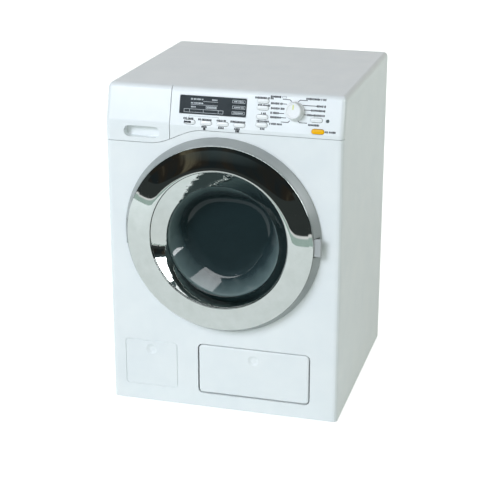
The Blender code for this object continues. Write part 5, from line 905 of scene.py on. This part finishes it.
# Print
def stamped(name, marks, lift, material, body="cabinet"):
    """Printed marks as one piece, each a thin slab (x, slope, width, height, turn) on the leaning panel."""
    x, slope, width, height, turn = np.asarray(marks, float).T
    corner_u = np.array([-0.5, 0.5, 0.5, -0.5])[None, :] * width[:, None]
    corner_v = np.array([-0.5, -0.5, 0.5, 0.5])[None, :] * height[:, None]
    u = x[:, None] + corner_u * np.cos(turn)[:, None] - corner_v * np.sin(turn)[:, None]
    v = slope[:, None] + corner_u * np.sin(turn)[:, None] + corner_v * np.cos(turn)[:, None]
    points = np.concatenate([on_panel(u, v, lift), on_panel(u, v, lift + PRINT_LIFT)], axis=1).reshape(-1, 3)
    start = np.arange(len(marks))[:, None, None] * 8
    slab = np.array([(3, 2, 1, 0), (4, 5, 6, 7), (0, 1, 5, 4), (1, 2, 6, 5), (2, 3, 7, 6), (3, 0, 4, 7)])
    faces = (start + slab[None]).reshape(-1, 4)
    settle(mesh_object(name, points, faces, material), body, "grey_abs")


def blocks(seed, *place):
    """A row of uneven little blocks that stands in for a caption and spells nothing. Its place is given in
    millimetres: x where it starts and ends, how far up the slope it lies, and its height if not the usual."""
    first, last, slope, height = (value * MM for value in (*place, PRINT_HEIGHT)[:4])
    source = np.random.default_rng(seed)
    widths = source.uniform(*BLOCK_WIDTHS, MOST_BLOCKS)
    gaps = np.where(source.random(MOST_BLOCKS) < WORD_GAP_SHARE, WORD_GAP, BLOCK_GAP)
    ends = np.cumsum(widths + gaps) - gaps
    keep = ends <= last - first
    stretch = (last - first) / ends[keep][-1]
    centres = first + (ends[keep] - widths[keep] / 2) * stretch
    tall = source.uniform(LEAST_BLOCK_SHARE, 1.0, keep.sum()) * height
    return [(c, slope, w * stretch, h, 0.0) for c, w, h in zip(centres, widths[keep], tall)]


def line(places, width):
    """A printed line through a row of places."""
    return [((x1 + x2) / 2, (s1 + s2) / 2, math.hypot(x2 - x1, s2 - s1) + width, width,
             math.atan2(s2 - s1, x2 - x1)) for (x1, s1), (x2, s2) in zip(places, places[1:])]


# The usual height of a caption, in millimetres
PRINT_HEIGHT = 1.65
# Captions on the panel, in millimetres: x where each starts and ends, and how far up the slope it lies
CAPTIONS = [(-30.4, -22.6, 5.6), (-18.8, -8.4, 5.4), (-4.3, 2.8, 5.4), (6.4, 17.8, 5.4),
            (-15.8, -11.7, 0.1), (-14.4, -12.7, -1.5), (-2.8, 1.5, 0.1), (9.6, 13.9, 0.1), (10.6, 13.4, -1.5),
            (24.0, 38.0, 24.4), (26.5, 35.8, 19.0), (29.4, 32.9, 13.0), (26.4, 35.7, 7.2), (29.4, 32.8, 1.6),
            (35.8, 43.6, 25.8), (36.3, 45.0, 20.9), (36.6, 46.8, 17.3), (36.4, 42.6, 13.9),
            (36.4, 44.5, 10.7), (36.2, 45.7, 5.8), (62.6, 77.6, 25.7), (70.9, 77.6, 20.8),
            (67.0, 77.4, 17.5), (64.4, 77.3, 14.0), (65.4, 73.7, 6.8), (78.4, 86.3, 2.4)]


def boxed(x1, slope1, x2, slope2):
    """The line round a printed frame, given by two of its corners."""
    return [(x1, slope1), (x2, slope1), (x2, slope2), (x1, slope2), (x1, slope1)]


# Thin lines that lead from the captions to the controls, in millimetres along the panel and up its slope
LEADERS = [[(45.3, 24.3), (50.4, 24.3), (51.7, 23.2)], [(45.0, 7.6), (50.2, 7.6), (51.2, 8.7)],
           [(57.0, 23.3), (58.2, 24.4), (63.6, 24.5)], [(57.8, 9.1), (59.0, 8.0), (64.3, 8.0)],
           [(45.0, 20.9), (48.2, 20.9)], [(42.6, 13.9), (46.5, 13.9)], [(44.5, 10.8), (48.3, 10.8)],
           [(60.7, 20.8), (70.9, 20.8)], [(61.8, 17.5), (67.0, 17.5)], [(62.1, 14.0), (64.4, 14.0)]]
# Paler lines: the bracket over the option buttons and the little frame beside the top caption
PALE_LEADERS = [[(-26.0, 6.7), (-26.0, 7.6), (-3.2, 7.6), (-3.2, 6.7)],
                boxed(44.6, 25.2, 47.7, 26.4)]
# The bar on the first option button: where it starts and ends, and its height, in millimetres
OPTION_MARK = (-29.6, -24.1, 1.5)
# The display's rows of blocks, as the captions with each row's height besides, and its lines
DISPLAY_SEED = 71
DISPLAY_WORDS = [(-25.4, -15.9, 20.3, 1.3), (-8.9, -4.9, 20.4, 1.1), (-25.2, -15.8, 17.4, 1.1),
                 (-25.0, -21.5, 14.5, 1.2), (-12.7, -5.6, 14.6, 1.0), (8.2, 15.4, 20.3, 0.9),
                 (8.4, 15.8, 16.0, 0.9), (8.2, 15.4, 11.9, 0.9)]
DISPLAY_LINES = [[(-15.7, 18.9), (-4.5, 18.9)], [(-25.1, 16.2), (-4.4, 16.2)],
                 boxed(-13.3, 13.8, -5.1, 15.4), boxed(-30.3, 10.4, 0.1, 12.8),
                 [(-26.0, 10.4), (-26.0, 12.8)], [(-15.2, 10.4), (-15.2, 12.8)], [(-3.6, 10.4), (-3.6, 12.8)],
                 boxed(7.0, 19.3, 16.6, 21.3), boxed(7.2, 15.0, 16.8, 17.1), boxed(7.0, 10.9, 16.6, 12.9)]


def captions(table, first_seed):
    """The blocks of a table of captions, each with a seed of its own."""
    return [mark for k, place in enumerate(table) for mark in blocks(first_seed + k, *place)]


def lines(table, width):
    """Printed lines from a table of places in millimetres."""
    return [mark for places in table for mark in line([(x * MM, slope * MM) for x, slope in places], width)]


stamped("panel_print", captions(CAPTIONS, 0) + lines(LEADERS, LINE_WIDTH), 0.0, grey_ink)
stamped("panel_fine_print", lines(PALE_LEADERS, FINE_LINE_WIDTH), 0.0, fine_ink)
first, last, tall = (value * MM for value in OPTION_MARK)
low, high = panel_span("option_button_1", 0.0)
stamped("option_mark", [((first + last) / 2, (low[1] + high[1]) / 2, last - first, tall, 0.0)], high[2],
        grey_ink, "option_button_1")
stamped("display_print", captions(DISPLAY_WORDS, DISPLAY_SEED) + lines(DISPLAY_LINES, FINE_LINE_WIDTH),
        panel_span("display_window")[1][2], pale_ink)
pointer = [(knob_centre[0], knob_centre[1] + reach) for reach in POINTER_REACH]
stamped("knob_pointer", line(pointer, POINTER_WIDTH), KNOB_FACE - KNOB_DISH, pointer_ink, "knob")


# Camera, light and floor
CAMERA_PLACE = (0.280944, -1.026098, 0.485187)
CAMERA_TURN = (70.435, -0.094, 15.406)
CAMERA_LENS = 97.71
SENSOR_WIDTH = 36.0
SKY_STRENGTH = 0.77
KEY_PLACE = (-1.0, -2.15, 1.5)
KEY_SIZE = (1.1, 1.0)
KEY_POWER = 43.0
KEY_COLOUR = (0.82, 0.87, 1.0)
# The floor's half width, its lift to white in the camera and in mirrors, and in mirrors its slanting edge:
# where it crosses the middle, its turn in degrees, its band's width, and where the white line ends
FLOOR_HALF = 6.0
CAMERA_LIFT = 0.8
MIRROR_LIFT = 0.53
FLOOR_EDGE_Y = -0.569
FLOOR_EDGE_TURN = 21.2
FLOOR_EDGE_BLUR = 0.004
FLOOR_EDGE_BAND = 0.085
FLOOR_BAND_BLUR = 0.012
FLOOR_LINE_END = (0.030, 0.024)
# The dark studio, its lit part of the ceiling, and the lit cloths in it
ROOM_FRONT = -1.75
ROOM_SIDE = 2.6
ROOM_BACK = 1.2
ROOM_TOP = 3.0
ROOM_PALE_HEIGHTS = (0.26, 0.50)
CEILING_SPLIT = -0.35
CEILING_GLOW = 1.6
CLOTH_X = 2.5
CLOTH_FRONT = -0.75
SOFTBOX_BACK = 0.22
SOFTBOX_HEIGHTS = (0.47, 2.3)
SOFTBOX_GLOW = 9.5
SCRIM_HEIGHTS = (1.45, 2.9)
SCRIM_GLOW = 4.0
CLOTH_UNEVEN = 0.15
FLAG_HALF = 1.1
FLAG_HEIGHT = 1.25

camera_data = bpy.data.cameras.new("camera")
camera_data.lens, camera_data.sensor_width = CAMERA_LENS, SENSOR_WIDTH
camera = linked("camera", camera_data)
camera.location = CAMERA_PLACE
camera.rotation_euler = [math.radians(angle) for angle in CAMERA_TURN]
bpy.context.scene.camera = camera
bpy.context.scene.view_settings.view_transform = "Standard"


def seen_rays(tree):
    """The Light Path node, and a share that is 1 for camera, glossy and transmitted rays."""
    rays = add(tree, "LightPath")
    seen = rays.outputs["Is Camera Ray"]
    for kind in ("Is Glossy Ray", "Is Transmission Ray"):
        seen = add(tree, "Math", {0: seen, 1: rays.outputs[kind]}, operation="MAXIMUM").outputs[0]
    return rays, seen


def make_world():
    """Even pale light all round. Camera, glossy and transmitted rays see a white backdrop."""
    world = bpy.data.worlds.new("studio")
    bpy.context.scene.world = world
    world.use_nodes = True
    sky = world.node_tree
    soft = add(sky, "Background", {"Color": linear("#EDF3ED"), "Strength": SKY_STRENGTH})
    white = add(sky, "Background", {"Color": (1, 1, 1, 1), "Strength": 1.0})
    blend = add(sky, "MixShader", {0: seen_rays(sky)[1], 1: soft, 2: white})
    sky.links.new(blend.outputs[0], sky.nodes["World Output"].inputs["Surface"])


def make_key():
    """One large soft lamp, high in front and to the left. The leaning panel mirrors it as a sheen, and the
    right side and the top stay in the even light."""
    key_data = bpy.data.lights.new("key", "AREA")
    key_data.shape = "RECTANGLE"
    key_data.size, key_data.size_y = KEY_SIZE
    key_data.energy, key_data.color = KEY_POWER, KEY_COLOUR
    key = linked("key", key_data)
    key.location = KEY_PLACE
    key.rotation_euler = (Vector((0, 0, DOOR_HEIGHT)) - key.location).to_track_quat("-Z", "Y").to_euler()


def level(x1, x2, y1, y2, z):
    """The corners of a level sheet."""
    return [(x1, y1, z), (x2, y1, z), (x2, y2, z), (x1, y2, z)]


def upright(x1, y1, x2, y2, low, high):
    """The corners of an upright sheet over the line from (x1, y1) to (x2, y2)."""
    return [(x1, y1, low), (x2, y2, low), (x2, y2, high), (x1, y1, high)]


def sheets(name, corners, material, mirrored=False):
    """Flat sheets, each given by its four corners, as one piece of the studio. Mirrored ones are left to
    glossy and transmitted rays alone."""
    points = np.asarray(corners, float)
    data = bpy.data.meshes.new(name)
    data.from_pydata(points.reshape(-1, 3).tolist(), [], np.arange(len(points) * 4).reshape(-1, 4).tolist())
    data.materials.append(material)
    item = linked(name, data)
    if mirrored:
        item.visible_camera = item.visible_diffuse = item.visible_shadow = False
    return item


def floor_paper():
    """White paper, lifted to white for camera, glossy and transmitted rays with the object's shadow kept. In
    glossy rays it ends at a slanting edge: a grey-green band, a thin white line, and the dark studio."""
    material, tree, shader = finish("white_paper_floor", "#DDE4E1", 0.9, Specular_IOR_Level=0.1)
    rays, seen = seen_rays(tree)
    turn = math.radians(FLOOR_EDGE_TURN)
    place = add(tree, "TexCoord").outputs["Object"]
    turned_place = add(tree, "Mapping", {"Vector": place, "Rotation": (0, 0, -turn)}).outputs["Vector"]
    beyond = add(tree, "SeparateXYZ", {"Vector": turned_place}).outputs["Y"]
    edge = FLOOR_EDGE_Y * math.cos(turn)
    far = edge - FLOOR_EDGE_BAND
    band = between(tree, spread(tree, beyond, 1.0, 0.0, far, far + FLOOR_BAND_BLUR), "#BAD0C9", "#FFFFFF")
    dark = spread(tree, beyond, 1.0, 0.0, far - FLOOR_LINE_END[0], far - FLOOR_LINE_END[1])
    studio = add(tree, "Emission", {"Color": between(tree, dark, band, "#3A3F3E"), "Strength": 1.0})
    none = add(tree, "Emission", {"Color": (0, 0, 0, 1), "Strength": 0.0})
    strength = spread(tree, rays.outputs["Is Camera Ray"], MIRROR_LIFT, CAMERA_LIFT, 0.0, 1.0)
    lift = add(tree, "Emission", {"Color": (1, 1, 1, 1), "Strength": strength})
    lifted = add(tree, "MixShader", {0: seen, 1: none, 2: lift})
    paper = add(tree, "AddShader", {0: shader, 1: lifted})
    past = spread(tree, beyond, 1.0, 0.0, edge - FLOOR_EDGE_BLUR, edge)
    mirrored = add(tree, "Math", {0: past, 1: rays.outputs["Is Glossy Ray"]}, operation="MULTIPLY")
    both = add(tree, "MixShader", {0: mirrored, 1: paper, 2: studio})
    tree.links.new(both.outputs[0], tree.nodes["Material Output"].inputs["Surface"])
    return material


def glow(tree, colour, strength):
    """Makes a material shine by itself."""
    shine = add(tree, "Emission", {"Color": colour, "Strength": strength})
    tree.links.new(shine.outputs[0], tree.nodes["Material Output"].inputs["Surface"])


def studio_paint():
    """Dark studio that only the chrome and the gloss see: near black, with brown streaks, and paler and
    blue-grey higher up."""
    material, tree = finish("dark_studio_wall", "#1B1A17", 0.9)[:2]
    streaks = clouds(tree, 220.0, 4.0, (1.0, 1.0, 0.2))
    dull = between(tree, spread(tree, streaks, 0.0, 1.0, 0.42, 0.58), "#22292B", "#2E2A24")
    streaked = between(tree, spread(tree, streaks, 0.0, 1.0, 0.58, 0.70), dull, "#655F4F")
    higher = spread(tree, along(tree, "Z"), 0.0, 1.0, *ROOM_PALE_HEIGHTS)
    glow(tree, between(tree, higher, streaked, "#5A686A"), 1.0)
    return material


def lit_cloth(name, bright):
    """White cloth lit from behind, a little unevenly, that only the chrome and the gloss see."""
    material, tree = finish(name, "#FFFFFF", 0.9)[:2]
    uneven = spread(tree, clouds(tree, 600.0), bright * (1 - CLOTH_UNEVEN), bright * (1 + CLOTH_UNEVEN))
    glow(tree, (0.95, 0.98, 1.0, 1.0), uneven)
    return material


make_world()
make_key()
left, right, near, far = -ROOM_SIDE, ROOM_SIDE, ROOM_FRONT, ROOM_BACK
sheets("floor", [level(-FLOOR_HALF, FLOOR_HALF, -FLOOR_HALF, FLOOR_HALF, 0)], floor_paper())
sheets("studio_walls", [upright(left, near, right, near, 0, ROOM_TOP),
                        upright(left, far, left, near, 0, ROOM_TOP),
                        upright(right, near, right, far, 0, ROOM_TOP),
                        level(left, right, near, CEILING_SPLIT, ROOM_TOP)], studio_paint(), True)
sheets("white_ceiling", [level(left, right, CEILING_SPLIT, far, ROOM_TOP)],
       lit_cloth("lit_ceiling_cloth", CEILING_GLOW), True)
sheets("softbox", [upright(CLOTH_X, CLOTH_FRONT, CLOTH_X, SOFTBOX_BACK, *SOFTBOX_HEIGHTS)],
       lit_cloth("lit_softbox_cloth", SOFTBOX_GLOW), True)
sheets("high_scrim", [upright(-CLOTH_X, CLOTH_FRONT, CLOTH_X, CLOTH_FRONT, *SCRIM_HEIGHTS)],
       lit_cloth("lit_scrim_cloth", SCRIM_GLOW), True)
# Black cloth that hangs overhead and keeps the even light off the top
flag_cloth = clouded("black_flag_cloth", "#101112", 0.9, ("#101112", "#1A1B1C"), (4.0,))
flag = sheets("overhead_flag", [level(-FLAG_HALF, FLAG_HALF, -FLAG_HALF, FLAG_HALF, FLAG_HEIGHT)], flag_cloth)
flag.visible_camera = flag.visible_glossy = flag.visible_transmission = False
